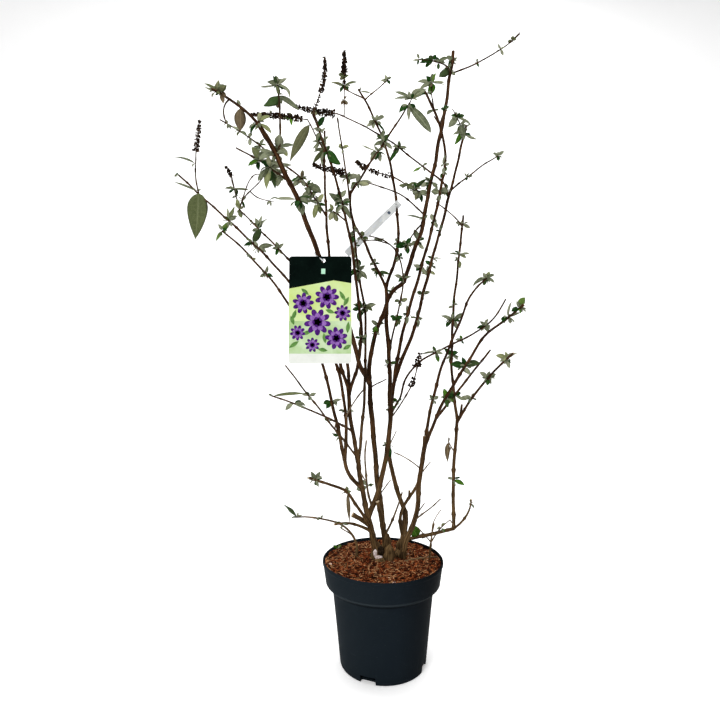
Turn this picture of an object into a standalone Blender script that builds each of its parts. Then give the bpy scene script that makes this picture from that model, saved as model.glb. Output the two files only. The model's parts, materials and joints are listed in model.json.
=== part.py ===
"""A butterfly bush in its nursery pot.

The plant is a clump of slim woody canes that rise from one root crown, with tufts of leaves and
two dried flower spikes at their ends. A picture tag and a strip tag hang on the canes.

Units are metres and +Z is up. The origin is the centre of the pot's flat underside, -Y is the
side that the tag faces and +X is to the right of it.
"""
import math
from dataclasses import dataclass

import bmesh
import bpy
from mathutils import Matrix, Vector, noise

MM = 0.001
GAP = 0.4 * MM
MERGE_DISTANCE = 0.01 * MM
SHORTEST_EDGE = 0.02 * MM

POT_HEIGHT = 0.261
POT_RIM_RADIUS = 0.158
POT_COLLAR_RADIUS = 0.1535
POT_COLLAR_HEIGHT = 0.066
POT_NECK_RADIUS = 0.1325
POT_FOOT_RADIUS = 0.112
POT_WALL = 0.003
POT_FLOOR = 0.005
POT_CORNER = 0.004
POT_LIP = 0.001
POT_RIM_BAND = 0.010
POT_COLLAR_TOP = 0.040
POT_SHOULDER_INSET = 0.004
POT_SHOULDER_RADIUS = POT_COLLAR_RADIUS - POT_SHOULDER_INSET
POT_NECK_TOP = POT_HEIGHT - POT_COLLAR_HEIGHT
POT_NECK_FILLET = 0.004
POT_STEPS = 32

NOTCH_WIDTH = 0.040
NOTCH_HEIGHT = 0.015
NOTCH_DEPTH = 0.018
NOTCH_BEARINGS = (-112, -22, 68, 158)
NOTCH_HOUSING = 0.020

SOIL_TOP = 0.252
SOIL_SWELL = 0.004
SOIL_SINK = 0.0012
SOIL_CLEARANCE = 3.0 * GAP
SOIL_COARSE_WAVE = 28.0
SOIL_FINE_WAVE = 70.0
SOIL_FINE_SHARE = 0.6
SOIL_CREST = 0.4
SOIL_RINGS = 5
SOIL_SIDES = 28

CROWN_CENTRE = (0.020, 0.008, 0.258)
CROWN_SIZE = (0.056, 0.040, 0.040)
CROWN_ROUGHNESS = 0.35
CROWN_LEVEL = SOIL_TOP + 0.0016

CANE_STEP = 0.105
CANE_SIDES_RESOLUTION = 1
TRUNK_SIDES_RESOLUTION = 2
TRUNK_GIRTH = 12 * MM
FOOT_REACH = 0.16
FOOT_MARGIN = 4 * MM

LUMP_COARSE_WAVE = 1.9
LUMP_FINE_WAVE = 4.5
LUMP_FINE_SHARE = 0.5
LUMP_SPREAD = 7.0
TUFT_MARGIN = 3 * MM
TUFT_STRETCH = 1.3

TAG_WIDTH = 0.140
TAG_HEIGHT = 0.240
TAG_THICKNESS = 0.0012
TAG_CORNER = 0.006
TAG_HOLE_RADIUS = 0.0045
TAG_HOLE_SIDES = 12
TAG_HOLE_DROP = 0.010
TAG_HOLE_SHIFT = 0.007
TAG_SHARE = 0.568

TIE_RADIUS = 0.017
TIE_THICKNESS = 0.0009
TIE_NORMAL = Vector((0.50, -0.40, 0.77)).normalized()
TIE_SEGMENTS = 24
TIE_SIDES = 6

STRIP_LENGTH = 0.218
STRIP_WIDTH = 0.021
STRIP_THICKNESS = 0.0010
STRIP_CORNER = 0.002
STRIP_SHARE = 0.38
STRIP_SLOPE = math.radians(44.5)
STRIP_OVERHANG = 0.014
STRIP_STANDOFF = 0.0045

# A sway of one unit moves the limb by one unit where it is greatest, a fifth of the way up.
SWAY_SCALE = 10.392


@dataclass(frozen=True)
class Limb:
    """A tapering limb from its foot to its tip.

    The foot is a point, or a share of the parent's length. Bow is how far the middle stands off
    the straight line, and sway how far the lower part stands off it while the upper part stands
    as far off on the other side. Girth is the diameter at foot and tip.
    """
    name: str
    parent: str
    foot: object
    tip: tuple
    bow: tuple
    girth: tuple
    sway: tuple = (0.0, 0.0, 0.0)


@dataclass(frozen=True)
class Tuft:
    """An uneven mass of leaves near a point of a limb, with its half sizes."""
    name: str
    limb: str
    share: float
    offset: tuple
    size: tuple
    detail: int = 3
    roughness: float = 0.60


# The short, thick stems that rise from the root crown, then the canes of the left side, the
# middle and the right side, each after the limb it grows from.
LIMBS = (
    Limb("left_stem", "", (-0.015, -0.010, 0.275), (-0.065, -0.030, 0.520), (-0.005, 0, 0), (16, 11)),
    Limb("centre_trunk", "", (0.010, 0.000, 0.275), (-0.035, 0.020, 0.735), (-0.005, 0, 0), (14, 12)),
    Limb("right_trunk", "", (0.050, 0.030, 0.268), (0.065, 0.050, 0.365), (0.005, 0, 0), (16, 13)),
    Limb("front_right_stem", "", (0.055, 0.000, 0.275), (0.110, -0.030, 0.560), (0.010, 0, -0.005),
         (12, 10), (0.005, 0, 0)),
    Limb("low_right_bough", "", (0.070, 0.030, 0.298), (0.195, 0.020, 0.330), (0, 0, 0), (9, 8)),
    Limb("bottom_left_bough", "", (-0.070, 0.010, 0.2565), (-0.245, 0.070, 0.345),
         (0.030, 0, 0.040), (5, 3), (0.010, 0, 0.005)),

    Limb("left_leader", "centre_trunk", 0.97, (-0.265, -0.380, 1.255), (0.010, -0.025, -0.010),
         (11.5, 9), (-0.010, 0.005, 0)),
    Limb("left_leader_tip", "left_leader", 0.985, (-0.345, -0.420, 1.300), (0.005, 0, 0.005), (5, 3)),
    Limb("slim_cane", "left_leader", 0.035, (-0.120, -0.060, 1.425), (0.010, 0, 0), (6, 2.5)),
    Limb("left_branch", "left_stem", 0.71, (-0.100, -0.045, 0.530), (-0.010, 0, -0.005), (10, 9)),
    Limb("far_left_cane", "left_branch", 0.985, (-0.605, 0.120, 1.340), (0.105, 0.005, 0.055),
         (8, 4), (0.020, 0, 0.010)),
    Limb("low_left_cane", "left_branch", 0.94, (-0.410, -0.100, 1.110), (0.055, 0, 0.030),
         (8, 3), (-0.005, 0, 0)),
    Limb("low_left_bough", "left_stem", 0.22, (-0.185, -0.120, 0.495), (0.020, 0.005, 0.020), (8, 5)),

    Limb("middle_stem", "left_stem", 0.985, (-0.090, -0.020, 0.705), (-0.005, 0, 0), (10.5, 9.5)),
    Limb("far_low_left_bough", "middle_stem", 0.42, (-0.275, -0.130, 0.695), (0.020, -0.050, 0.005),
         (4.5, 2.5)),
    Limb("middle_left_cane", "middle_stem", 0.99, (-0.165, 0.100, 1.465), (-0.020, 0.005, 0), (8.5, 5)),
    Limb("back_left_cane", "middle_stem", 0.96, (-0.460, 0.280, 1.285), (0.060, 0.015, 0.025),
         (8, 3), (0.015, 0, 0)),
    Limb("middle_cane", "middle_stem", 0.93, (-0.180, -0.120, 1.405), (0.055, 0.020, 0.016),
         (8, 4), (0.005, 0, -0.005)),
    Limb("long_left_bough", "middle_left_cane", 0.65, (-0.455, 0.020, 1.460), (0.015, 0, 0.020), (5, 2.5)),

    Limb("centre_stem", "left_stem", 0.39, (0.015, 0.060, 1.000), (0.035, 0, -0.005),
         (13, 9.5), (0.010, 0, 0)),
    Limb("centre_cane", "centre_stem", 0.99, (-0.065, 0.140, 1.615), (0.065, 0, 0.005), (8, 4.5)),
    Limb("centre_left_arm", "centre_stem", 0.975, (-0.085, 0.000, 1.250), (-0.020, 0, -0.005),
         (7, 5.5), (0.005, 0, 0.010)),
    Limb("diagonal_bough", "centre_left_arm", 0.985, (0.065, 0.040, 1.490), (0, 0, 0), (5.5, 3.5)),

    Limb("right_leader_foot", "centre_trunk", 0.995, (0.065, 0.040, 1.005), (-0.025, 0, 0.010),
         (11, 10.5)),
    Limb("right_leader", "right_leader_foot", 0.99, (0.220, 0.100, 1.710), (0.015, 0, -0.005), (10.3, 6.5)),
    Limb("far_right_bough", "right_leader", 0.90, (0.440, 0.160, 1.805), (0.010, 0, -0.010), (4, 2)),
    Limb("back_right_stem", "right_trunk", 0.98, (0.045, 0.100, 0.740), (-0.035, 0, 0), (12, 10.5)),
    Limb("back_right_cane", "back_right_stem", 0.99, (0.295, 0.280, 1.570), (0.010, 0.005, -0.005),
         (9.5, 4.5)),
    Limb("right_cane", "back_right_stem", 0.96, (0.110, -0.080, 1.485), (0.055, 0.005, 0.010),
         (9, 3.5), (-0.025, 0, -0.010)),
    Limb("back_right_bough", "back_right_cane", 0.72, (0.390, 0.240, 1.450), (0, 0, 0.005), (4.5, 2.5)),
    Limb("long_back_bough", "back_right_cane", 0.70, (-0.135, 0.170, 1.555), (0.015, 0, 0.025), (5, 3)),
    Limb("back_lateral", "back_right_stem", 0.67, (0.395, 0.200, 0.975), (-0.020, 0.005, 0.025),
         (5, 3.5), (-0.015, 0, 0.030)),

    Limb("inner_right_cane", "front_right_stem", 0.985, (0.315, 0.080, 1.030), (-0.030, 0.005, 0.015),
         (8, 4)),
    Limb("outer_right_cane", "front_right_stem", 0.95, (0.320, -0.200, 0.910), (-0.025, 0.005, 0.020),
         (8, 4)),
    Limb("short_right_cane", "outer_right_cane", 0.20, (0.285, -0.030, 0.810), (0, 0, 0), (6, 4)),
    Limb("right_side_cane", "low_right_bough", 0.98, (0.210, 0.040, 0.625), (-0.005, 0, 0.005), (8, 7.5)),
    Limb("right_side_leader", "right_side_cane", 0.985, (0.255, 0.150, 1.225), (-0.020, 0.005, 0),
         (6.5, 4), (-0.005, 0, 0)),
    Limb("right_side_arm", "right_side_cane", 0.95, (0.325, -0.100, 0.800), (-0.005, 0.005, 0.010), (6, 4)),
    Limb("low_right_tip", "low_right_bough", 0.96, (0.230, -0.030, 0.420), (0.010, 0, -0.005), (5, 3)),
)

TUFTS = (
    Tuft("left_tip_leaves", "left_leader_tip", 0.80, (-0.005, 0.000, 0.014), (0.024, 0.024, 0.020), 2),
    Tuft("left_stalk_leaves", "left_leader", 0.82, (-0.027, 0.000, 0.175), (0.033, 0.030, 0.030), 2),
    Tuft("left_inner_leaves", "left_leader", 0.74, (-0.070, -0.005, 0.082), (0.032, 0.034, 0.044)),
    Tuft("upper_left_leaves", "long_left_bough", 0.18, (-0.021, 0.000, 0.000), (0.046, 0.044, 0.056)),
    Tuft("upper_middle_leaves", "middle_cane", 0.72, (0.004, -0.006, -0.028), (0.034, 0.040, 0.046)),
    Tuft("middle_top_leaves", "middle_cane", 0.90, (-0.016, 0.000, -0.019), (0.050, 0.042, 0.046)),
    Tuft("centre_top_leaves", "diagonal_bough", 0.62, (-0.020, 0.010, 0.002), (0.039, 0.044, 0.066)),
    Tuft("high_centre_leaves", "diagonal_bough", 0.99, (0.021, 0.000, 0.035), (0.043, 0.040, 0.036), 2),
    Tuft("high_right_leaves", "right_leader", 0.90, (-0.046, -0.010, 0.005), (0.042, 0.042, 0.054)),
    Tuft("right_top_leaves", "back_right_cane", 0.96, (-0.026, 0.000, 0.038), (0.048, 0.046, 0.050)),
    Tuft("right_middle_leaves", "right_leader", 0.42, (-0.028, -0.030, -0.030), (0.046, 0.050, 0.046)),
    Tuft("right_lower_leaves", "right_leader", 0.20, (-0.022, -0.008, -0.035), (0.030, 0.034, 0.029), 2),
    Tuft("great_leaf", "far_left_cane", 0.93, (0.004, 0.000, -0.076), (0.028, 0.006, 0.074), 2, 0.15),
    Tuft("left_flower_spike", "far_left_cane", 0.93, (0.009, 0.000, 0.112), (0.011, 0.011, 0.114), 2, 0.35),
    Tuft("top_flower_spike", "long_back_bough", 0.97, (0.003, 0.000, 0.104), (0.013, 0.013, 0.106), 2, 0.35),
)

BARK = ("bark", (0.17, 0.10, 0.06), 0.75)
LEAF = ("leaf", (0.24, 0.29, 0.17), 0.60)
SEED = ("dried_flower", (0.05, 0.035, 0.03), 0.85)
PLASTIC = ("pot_plastic", (0.05, 0.055, 0.06), 0.42)
CHIPS = ("bark_chips", (0.26, 0.12, 0.06), 0.90)
CARD = ("tag_card", (0.55, 0.66, 0.42), 0.35)
STRIP = ("strip_plastic", (0.85, 0.86, 0.88), 0.35)
TIE = ("tie_plastic", (0.80, 0.81, 0.80), 0.40)


def clear_scene():
    """Remove every object that is there."""
    for obj in list(bpy.data.objects):
        bpy.data.objects.remove(obj, do_unlink=True)


def new_collection(name):
    """Add a collection to the scene and return it."""
    collection = bpy.data.collections.new(name)
    bpy.context.scene.collection.children.link(collection)
    return collection


def material(finish):
    """Return the material of a finish: its name, colour and roughness."""
    name, colour, roughness = finish
    mat = bpy.data.materials.get(name)
    if mat:
        return mat
    mat = bpy.data.materials.new(name)
    mat.use_nodes = True
    shader = mat.node_tree.nodes["Principled BSDF"]
    shader.inputs["Base Color"].default_value = (*colour, 1.0)
    shader.inputs["Roughness"].default_value = roughness
    shader.inputs["Metallic"].default_value = 0.0
    return mat


def add_mesh_object(name, mesh, collection, finish=None):
    """Put a mesh in the scene as an object."""
    obj = bpy.data.objects.new(name, mesh)
    collection.objects.link(obj)
    if finish:
        mesh.materials.clear()
        mesh.materials.append(material(finish))
    return obj


def evaluated_mesh(obj):
    """Return the object's mesh with its modifiers applied and its doubles merged."""
    depsgraph = bpy.context.evaluated_depsgraph_get()
    mesh = bpy.data.meshes.new_from_object(obj.evaluated_get(depsgraph))
    shape = bmesh.new()
    shape.from_mesh(mesh)
    bmesh.ops.remove_doubles(shape, verts=shape.verts, dist=MERGE_DISTANCE)
    shape.to_mesh(mesh)
    shape.free()
    return mesh


def limb_foot(limb):
    """Return the point where a limb starts."""
    if not limb.parent:
        return Vector(limb.foot)
    return limb_point(BY_NAME[limb.parent], limb.foot)


def limb_point(limb, share):
    """Return the point of a limb at a share of the way from its foot to its tip."""
    foot = limb_foot(limb)
    rise = share * (1.0 - share)
    straight = foot + (Vector(limb.tip) - foot) * share
    return (straight + Vector(limb.bow) * 4.0 * rise
            + Vector(limb.sway) * SWAY_SCALE * rise * (1.0 - 2.0 * share))


def limb_radius(limb, share):
    """Return a limb's radius at a share of its length."""
    foot, tip = limb.girth
    return 0.5 * MM * (foot + (tip - foot) * share)


def tube_mesh(limb, clearance=0.0):
    """Return a closed tube along a limb, wider and longer by the clearance."""
    length = (Vector(limb.tip) - limb_foot(limb)).length
    steps = max(3, math.ceil(length / CANE_STEP))
    curve = bpy.data.curves.new(limb.name, "CURVE")
    curve.dimensions = "3D"
    curve.bevel_depth = 1.0
    thick = limb.girth[0] * MM > TRUNK_GIRTH
    curve.bevel_resolution = TRUNK_SIDES_RESOLUTION if thick or clearance else CANE_SIDES_RESOLUTION
    curve.use_fill_caps = True
    spline = curve.splines.new("POLY")
    spline.points.add(steps)
    reach = clearance / length
    for index, point in enumerate(spline.points):
        share = -reach + (1.0 + 2.0 * reach) * index / steps
        point.co = (*limb_point(limb, share), 1.0)
        point.radius = limb_radius(limb, share) + clearance
    tube = bpy.data.objects.new(limb.name, curve)
    bpy.context.scene.collection.objects.link(tube)
    bpy.context.view_layer.update()
    mesh = evaluated_mesh(tube)
    bpy.data.objects.remove(tube, do_unlink=True)
    return mesh


def runs_close(first, second):
    """Tell whether the lower part of one limb comes within touch of another limb."""
    length = (Vector(first.tip) - limb_foot(first)).length
    last = min(1.0, FOOT_REACH / length)
    for step in range(9):
        share = last * step / 8
        here = limb_point(first, share)
        for other_step in range(61):
            other_share = other_step / 60
            there = limb_point(second, other_share)
            touch = limb_radius(first, share) + limb_radius(second, other_share) + FOOT_MARGIN
            if (here - there).length < touch:
                return True
    return False


def largest_piece(mesh):
    """Keep only the largest connected piece of a mesh."""
    shape = bmesh.new()
    shape.from_mesh(mesh)
    left = set(shape.verts)
    pieces = []
    while left:
        stack = [left.pop()]
        piece = set(stack)
        while stack:
            for edge in stack.pop().link_edges:
                for vert in edge.verts:
                    if vert in left:
                        left.discard(vert)
                        piece.add(vert)
                        stack.append(vert)
        pieces.append(piece)
    main = max(pieces, key=len)
    bmesh.ops.delete(shape, geom=[v for v in shape.verts if v not in main], context="VERTS")
    bmesh.ops.dissolve_degenerate(shape, dist=SHORTEST_EDGE, edges=shape.edges)
    bmesh.ops.triangulate(shape, faces=shape.faces)
    shape.to_mesh(mesh)
    shape.free()


def cut_clear(name, mesh, cutter_objects, collection, finish):
    """Cut the cutters out of a mesh and return what is left as one finished object."""
    obj = add_mesh_object(name, mesh, collection, finish)
    for cutter in cutter_objects:
        cut = obj.modifiers.new("clear_of_" + cutter.name, "BOOLEAN")
        cut.operation = "DIFFERENCE"
        cut.solver = "EXACT"
        cut.object = cutter
    bpy.context.view_layer.update()
    if cutter_objects:
        result = evaluated_mesh(obj)
        obj.modifiers.clear()
        obj.data = result
    largest_piece(obj.data)
    return obj


def make_cutter(name, mesh, collection):
    """Keep a mesh as a hidden cutter."""
    cutter = add_mesh_object(name + "_cutter", mesh, collection)
    cutter.hide_render = True
    cutter.display_type = "WIRE"
    return cutter


def turned(name, profile, steps, collection, finish=None):
    """Return an object turned from a profile of (radius, height) points, outer side first."""
    mesh = bpy.data.meshes.new(name)
    shape = bmesh.new()
    verts = [shape.verts.new((radius, 0.0, height)) for radius, height in profile]
    for low, high in zip(verts, verts[1:]):
        shape.edges.new((low, high))
    shape.to_mesh(mesh)
    shape.free()
    obj = add_mesh_object(name, mesh, collection, finish)
    screw = obj.modifiers.new("turn", "SCREW")
    screw.axis = "Z"
    screw.steps = steps
    screw.render_steps = steps
    screw.use_merge_vertices = True
    screw.merge_threshold = 0.1 * MM
    return obj


def build_pot(parts, cutters):
    """Build the pot: a tapered tub with a wide collar and four drainage notches at its foot."""
    inner_step = POT_NECK_FILLET + POT_WALL
    profile = [
        (POT_RIM_RADIUS - POT_WALL, POT_HEIGHT),
        (POT_RIM_RADIUS, POT_HEIGHT - POT_LIP),
        (POT_RIM_RADIUS - POT_LIP, POT_HEIGHT - POT_RIM_BAND),
        (POT_COLLAR_RADIUS, POT_HEIGHT - POT_COLLAR_TOP),
        (POT_SHOULDER_RADIUS, POT_NECK_TOP + 2.5 * POT_NECK_FILLET),
        (POT_SHOULDER_RADIUS - 1.5 * POT_NECK_FILLET, POT_NECK_TOP + POT_NECK_FILLET),
        (POT_NECK_RADIUS + POT_NECK_FILLET, POT_NECK_TOP),
        (POT_NECK_RADIUS, POT_NECK_TOP - 0.75 * POT_NECK_FILLET),
        (POT_FOOT_RADIUS, POT_CORNER),
        (POT_FOOT_RADIUS - 0.3 * POT_CORNER, 0.3 * POT_CORNER),
        (POT_FOOT_RADIUS - POT_CORNER, 0.0),
        (0.0, 0.0),
        (0.0, POT_FLOOR),
        (POT_FOOT_RADIUS - NOTCH_HOUSING - POT_WALL, POT_FLOOR),
        (POT_FOOT_RADIUS - NOTCH_HOUSING, NOTCH_HEIGHT + POT_WALL),
        (POT_FOOT_RADIUS - POT_LIP, NOTCH_HEIGHT + 2.0 * POT_WALL),
        (POT_NECK_RADIUS - POT_WALL, POT_NECK_TOP - POT_NECK_FILLET),
        (POT_NECK_RADIUS + POT_NECK_FILLET - POT_WALL, POT_NECK_TOP + POT_WALL),
        (POT_SHOULDER_RADIUS - 1.5 * POT_NECK_FILLET - POT_WALL, POT_NECK_TOP + inner_step),
        (POT_SHOULDER_RADIUS - POT_WALL, POT_NECK_TOP + inner_step + 1.5 * POT_NECK_FILLET),
        (POT_COLLAR_RADIUS - POT_WALL, POT_HEIGHT - POT_COLLAR_TOP),
        (POT_RIM_RADIUS - POT_WALL - POT_LIP, POT_HEIGHT - POT_RIM_BAND),
        (POT_RIM_RADIUS - POT_WALL, POT_HEIGHT),
    ]
    pot = turned("pot", profile, POT_STEPS, parts, PLASTIC)
    for bearing in NOTCH_BEARINGS:
        bpy.ops.mesh.primitive_cube_add(size=1.0)
        notch = bpy.context.object
        notch.name = "notch_%d" % (bearing % 360)
        notch.data.transform(Matrix.Diagonal((2.0 * NOTCH_DEPTH, NOTCH_WIDTH, 2.0 * NOTCH_HEIGHT, 1.0)))
        notch.location = Matrix.Rotation(math.radians(bearing), 3, "Z") @ Vector((POT_FOOT_RADIUS, 0.0, 0.0))
        notch.rotation_euler.z = math.radians(bearing)
        for holder in list(notch.users_collection):
            holder.objects.unlink(notch)
        cutters.objects.link(notch)
        notch.hide_render = True
        notch.display_type = "WIRE"
        cut = pot.modifiers.new(notch.name, "BOOLEAN")
        cut.operation = "DIFFERENCE"
        cut.solver = "EXACT"
        cut.object = notch
    for polygon in pot.data.polygons:
        polygon.use_smooth = True
    return pot


def build_substrate(parts):
    """Build the bark substrate that fills the pot to just under its rim, with an uneven top."""
    inset = POT_WALL + SOIL_CLEARANCE
    wall = [
        (POT_RIM_RADIUS - inset - 1.5 * POT_LIP, SOIL_TOP - POT_NECK_FILLET),
        (POT_COLLAR_RADIUS - inset - POT_LIP, POT_HEIGHT - POT_COLLAR_TOP - POT_LIP),
        (POT_SHOULDER_RADIUS - inset, POT_NECK_TOP + 3.5 * POT_NECK_FILLET),
        (POT_NECK_RADIUS + POT_NECK_FILLET - inset, POT_NECK_TOP + 1.5 * POT_WALL),
        (POT_NECK_RADIUS - inset, POT_NECK_TOP - POT_WALL),
        (POT_FOOT_RADIUS - POT_LIP - SOIL_CLEARANCE, NOTCH_HEIGHT + 2.0 * (POT_WALL + POT_LIP)),
        (POT_FOOT_RADIUS - NOTCH_HOUSING - SOIL_CLEARANCE, NOTCH_HEIGHT + POT_WALL + GAP + POT_LIP),
        (POT_FOOT_RADIUS - NOTCH_HOUSING - inset, POT_FLOOR + GAP),
        (0.0, POT_FLOOR + GAP),
    ]
    rim = wall[0][0]
    top = [(rim * ring / SOIL_RINGS, SOIL_TOP) for ring in range(SOIL_RINGS)]
    substrate = turned("substrate", top + wall, SOIL_SIDES, parts, CHIPS)
    mesh = evaluated_mesh(substrate)
    for vert in mesh.vertices:
        if vert.co.z > SOIL_TOP - POT_LIP:
            swell = noise.noise(vert.co * SOIL_COARSE_WAVE)
            swell += SOIL_FINE_SHARE * noise.noise(vert.co * SOIL_FINE_WAVE)
            vert.co.z += SOIL_SWELL * min(SOIL_CREST, swell) - SOIL_SINK
    substrate.modifiers.clear()
    substrate.data = mesh
    return substrate


def lumpy_mesh(name, centre, size, detail, roughness):
    """Return an uneven closed ball, stretched to its half sizes."""
    shape = bmesh.new()
    bmesh.ops.create_icosphere(shape, subdivisions=detail, radius=1.0)
    seed = Vector(centre) * LUMP_SPREAD
    for vert in shape.verts:
        direction = vert.co.normalized()
        coarse = noise.noise(direction * LUMP_COARSE_WAVE + seed)
        fine = noise.noise(direction * LUMP_FINE_WAVE + seed)
        swell = 1.0 + roughness * (coarse + LUMP_FINE_SHARE * fine)
        vert.co = Vector(a * b for a, b in zip(direction * swell, size)) + Vector(centre)
    bmesh.ops.recalc_face_normals(shape, faces=shape.faces)
    mesh = bpy.data.meshes.new(name)
    shape.to_mesh(mesh)
    shape.free()
    return mesh


def build_crown(parts, cutters):
    """Build the gnarled root crown, cut flat where it stands on the substrate."""
    mesh = lumpy_mesh("root_crown", CROWN_CENTRE, CROWN_SIZE, 3, CROWN_ROUGHNESS)
    shape = bmesh.new()
    shape.from_mesh(mesh)
    cut = bmesh.ops.bisect_plane(shape, geom=shape.verts[:] + shape.edges[:] + shape.faces[:],
                                 plane_co=(0.0, 0.0, CROWN_LEVEL), plane_no=(0.0, 0.0, -1.0),
                                 clear_outer=True)
    rim = [edge for edge in cut["geom_cut"] if isinstance(edge, bmesh.types.BMEdge)]
    bmesh.ops.contextual_create(shape, geom=rim)
    shape.to_mesh(mesh)
    cutter_mesh = mesh.copy()
    centre = Vector(CROWN_CENTRE)
    for vert in cutter_mesh.vertices:
        vert.co += (vert.co - centre).normalized() * GAP * 1.5
    shape.free()
    crown = add_mesh_object("root_crown", mesh, parts, BARK)
    return crown, make_cutter("root_crown", cutter_mesh, cutters)


def build_limbs(parts, cutters, crown_cutter):
    """Build every limb, each cut back where it would run into the crown or an earlier limb."""
    limb_cutters = {}
    for index, limb in enumerate(LIMBS):
        clear_of = []
        if not limb.parent:
            clear_of.append(crown_cutter)
        for other in LIMBS[:index]:
            if runs_close(limb, other):
                clear_of.append(limb_cutters[other.name])
        cut_clear(limb.name, tube_mesh(limb), clear_of, parts, BARK)
        limb_cutters[limb.name] = make_cutter(limb.name, tube_mesh(limb, GAP), cutters)
    return limb_cutters


def tuft_centre(tuft):
    """Return the middle of a tuft."""
    return limb_point(BY_NAME[tuft.limb], tuft.share) + Vector(tuft.offset)


def limb_enters(limb, centre, size):
    """Tell whether a limb comes within a mass or close to it."""
    for step in range(81):
        share = step / 80
        away = limb_point(limb, share) - centre
        margin = limb_radius(limb, share) + TUFT_MARGIN
        if sum((a / (b * TUFT_STRETCH + margin)) ** 2 for a, b in zip(away, size)) < 1.0:
            return True
    return False


def build_tufts(parts, limb_cutters):
    """Build the masses of leaves and the two flower spikes, cut round the limbs in them."""
    for tuft in TUFTS:
        centre = tuft_centre(tuft)
        finish = SEED if tuft.name.endswith("spike") else LEAF
        mesh = lumpy_mesh(tuft.name, centre, tuft.size, tuft.detail, tuft.roughness)
        clear_of = [limb_cutters[limb.name] for limb in LIMBS if limb_enters(limb, centre, tuft.size)]
        cut_clear(tuft.name, mesh, clear_of, parts, finish)


def flat_outline(name, splines, thickness):
    """Return a flat plate, in its own XY plane, from closed outlines of which later ones are holes."""
    curve = bpy.data.curves.new(name, "CURVE")
    curve.dimensions = "2D"
    curve.fill_mode = "BOTH"
    curve.extrude = thickness / 2.0
    for points in splines:
        spline = curve.splines.new("POLY")
        spline.points.add(len(points) - 1)
        for point, (x, y) in zip(spline.points, points):
            point.co = (x, y, 0.0, 1.0)
        spline.use_cyclic_u = True
    plate = bpy.data.objects.new(name, curve)
    bpy.context.scene.collection.objects.link(plate)
    bpy.context.view_layer.update()
    mesh = evaluated_mesh(plate)
    bpy.data.objects.remove(plate, do_unlink=True)
    return mesh


def rounded_rectangle(width, height, radius, arc_steps=3):
    """Return the outline of a rectangle with round corners, centred on the origin."""
    points = []
    for corner, (right, up) in enumerate(((1, 1), (-1, 1), (-1, -1), (1, -1))):
        for step in range(arc_steps + 1):
            angle = math.radians(90.0 * (corner + step / arc_steps))
            points.append((right * (width / 2 - radius) + radius * math.cos(angle),
                           up * (height / 2 - radius) + radius * math.sin(angle)))
    return points


def circle(centre_x, centre_y, radius, sides):
    """Return the outline of a round hole."""
    return [(centre_x + radius * math.cos(math.tau * side / sides),
             centre_y + radius * math.sin(math.tau * side / sides)) for side in range(sides)]


def tag_hang():
    """Return the point of the left leader that the picture tag's tie goes round."""
    return limb_point(BY_NAME["left_leader"], TAG_SHARE)


def tag_hole():
    """Return the middle of the picture tag's hole, the lowest point of the tie."""
    lowest = (TIE_NORMAL * TIE_NORMAL.z - Vector((0.0, 0.0, 1.0))).normalized()
    return tag_hang() + lowest * TIE_RADIUS


def build_tag(parts):
    """Build the picture tag, an upright card that hangs in front of the left leader."""
    hole_y = TAG_HEIGHT / 2 - TAG_HOLE_DROP
    outlines = [rounded_rectangle(TAG_WIDTH, TAG_HEIGHT, TAG_CORNER),
                circle(TAG_HOLE_SHIFT, hole_y, TAG_HOLE_RADIUS, TAG_HOLE_SIDES)]
    mesh = flat_outline("picture_tag", outlines, TAG_THICKNESS)
    mesh.transform(Matrix.Rotation(math.pi / 2, 4, "X"))
    mesh.transform(Matrix.Translation(tag_hole() - Vector((TAG_HOLE_SHIFT, 0.0, hole_y))))
    return add_mesh_object("picture_tag", mesh, parts, CARD)


def build_tie(parts):
    """Build the tie, a ring through the tag's hole and round the left leader."""
    bpy.ops.mesh.primitive_torus_add(major_radius=TIE_RADIUS, minor_radius=TIE_THICKNESS,
                                     major_segments=TIE_SEGMENTS, minor_segments=TIE_SIDES)
    tie = bpy.context.object
    tie.name = "tag_tie"
    tie.rotation_euler = TIE_NORMAL.to_track_quat("Z", "Y").to_euler()
    tie.location = tag_hang()
    for holder in list(tie.users_collection):
        holder.objects.unlink(tie)
    parts.objects.link(tie)
    tie.data.materials.append(material(TIE))
    return tie


def build_strip(parts, limb_cutters):
    """Build the strip tag, a stiff plastic band that slopes down to the left from the middle cane."""
    hang = limb_point(BY_NAME["centre_cane"], STRIP_SHARE)
    slope = Vector((-math.cos(STRIP_SLOPE), 0.0, -math.sin(STRIP_SLOPE)))
    middle = hang + slope * (STRIP_LENGTH / 2 - STRIP_OVERHANG) - Vector((0.0, STRIP_STANDOFF, 0.0))
    outline = rounded_rectangle(STRIP_LENGTH, STRIP_WIDTH, STRIP_CORNER, 1)
    mesh = flat_outline("strip_tag", [outline], STRIP_THICKNESS)
    mesh.transform(Matrix.Rotation(math.pi / 2, 4, "X"))
    mesh.transform(Matrix.Rotation(-STRIP_SLOPE, 4, "Y"))
    mesh.transform(Matrix.Translation(middle))
    return cut_clear("strip_tag", mesh, [limb_cutters["centre_cane"]], parts, STRIP)


def build():
    """Build the whole plant in its pot."""
    clear_scene()
    parts = new_collection("butterfly_bush")
    cutters = new_collection("cutters")
    build_pot(parts, cutters)
    build_substrate(parts)
    crown_cutter = build_crown(parts, cutters)[1]
    limb_cutters = build_limbs(parts, cutters, crown_cutter)
    build_tufts(parts, limb_cutters)
    build_tag(parts)
    build_tie(parts)
    build_strip(parts, limb_cutters)


BY_NAME = {limb.name: limb for limb in LIMBS}

build()
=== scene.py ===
"""Looks of the potted butterfly bush: canes, twigs, leaves, dried spikes, pot, mulch and tags.

Everything stands in the shared frame: metres, +Z up, -Y towards the side that the picture tag faces.
"""

import json
import logging
import math
from dataclasses import dataclass
from enum import Enum

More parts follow.
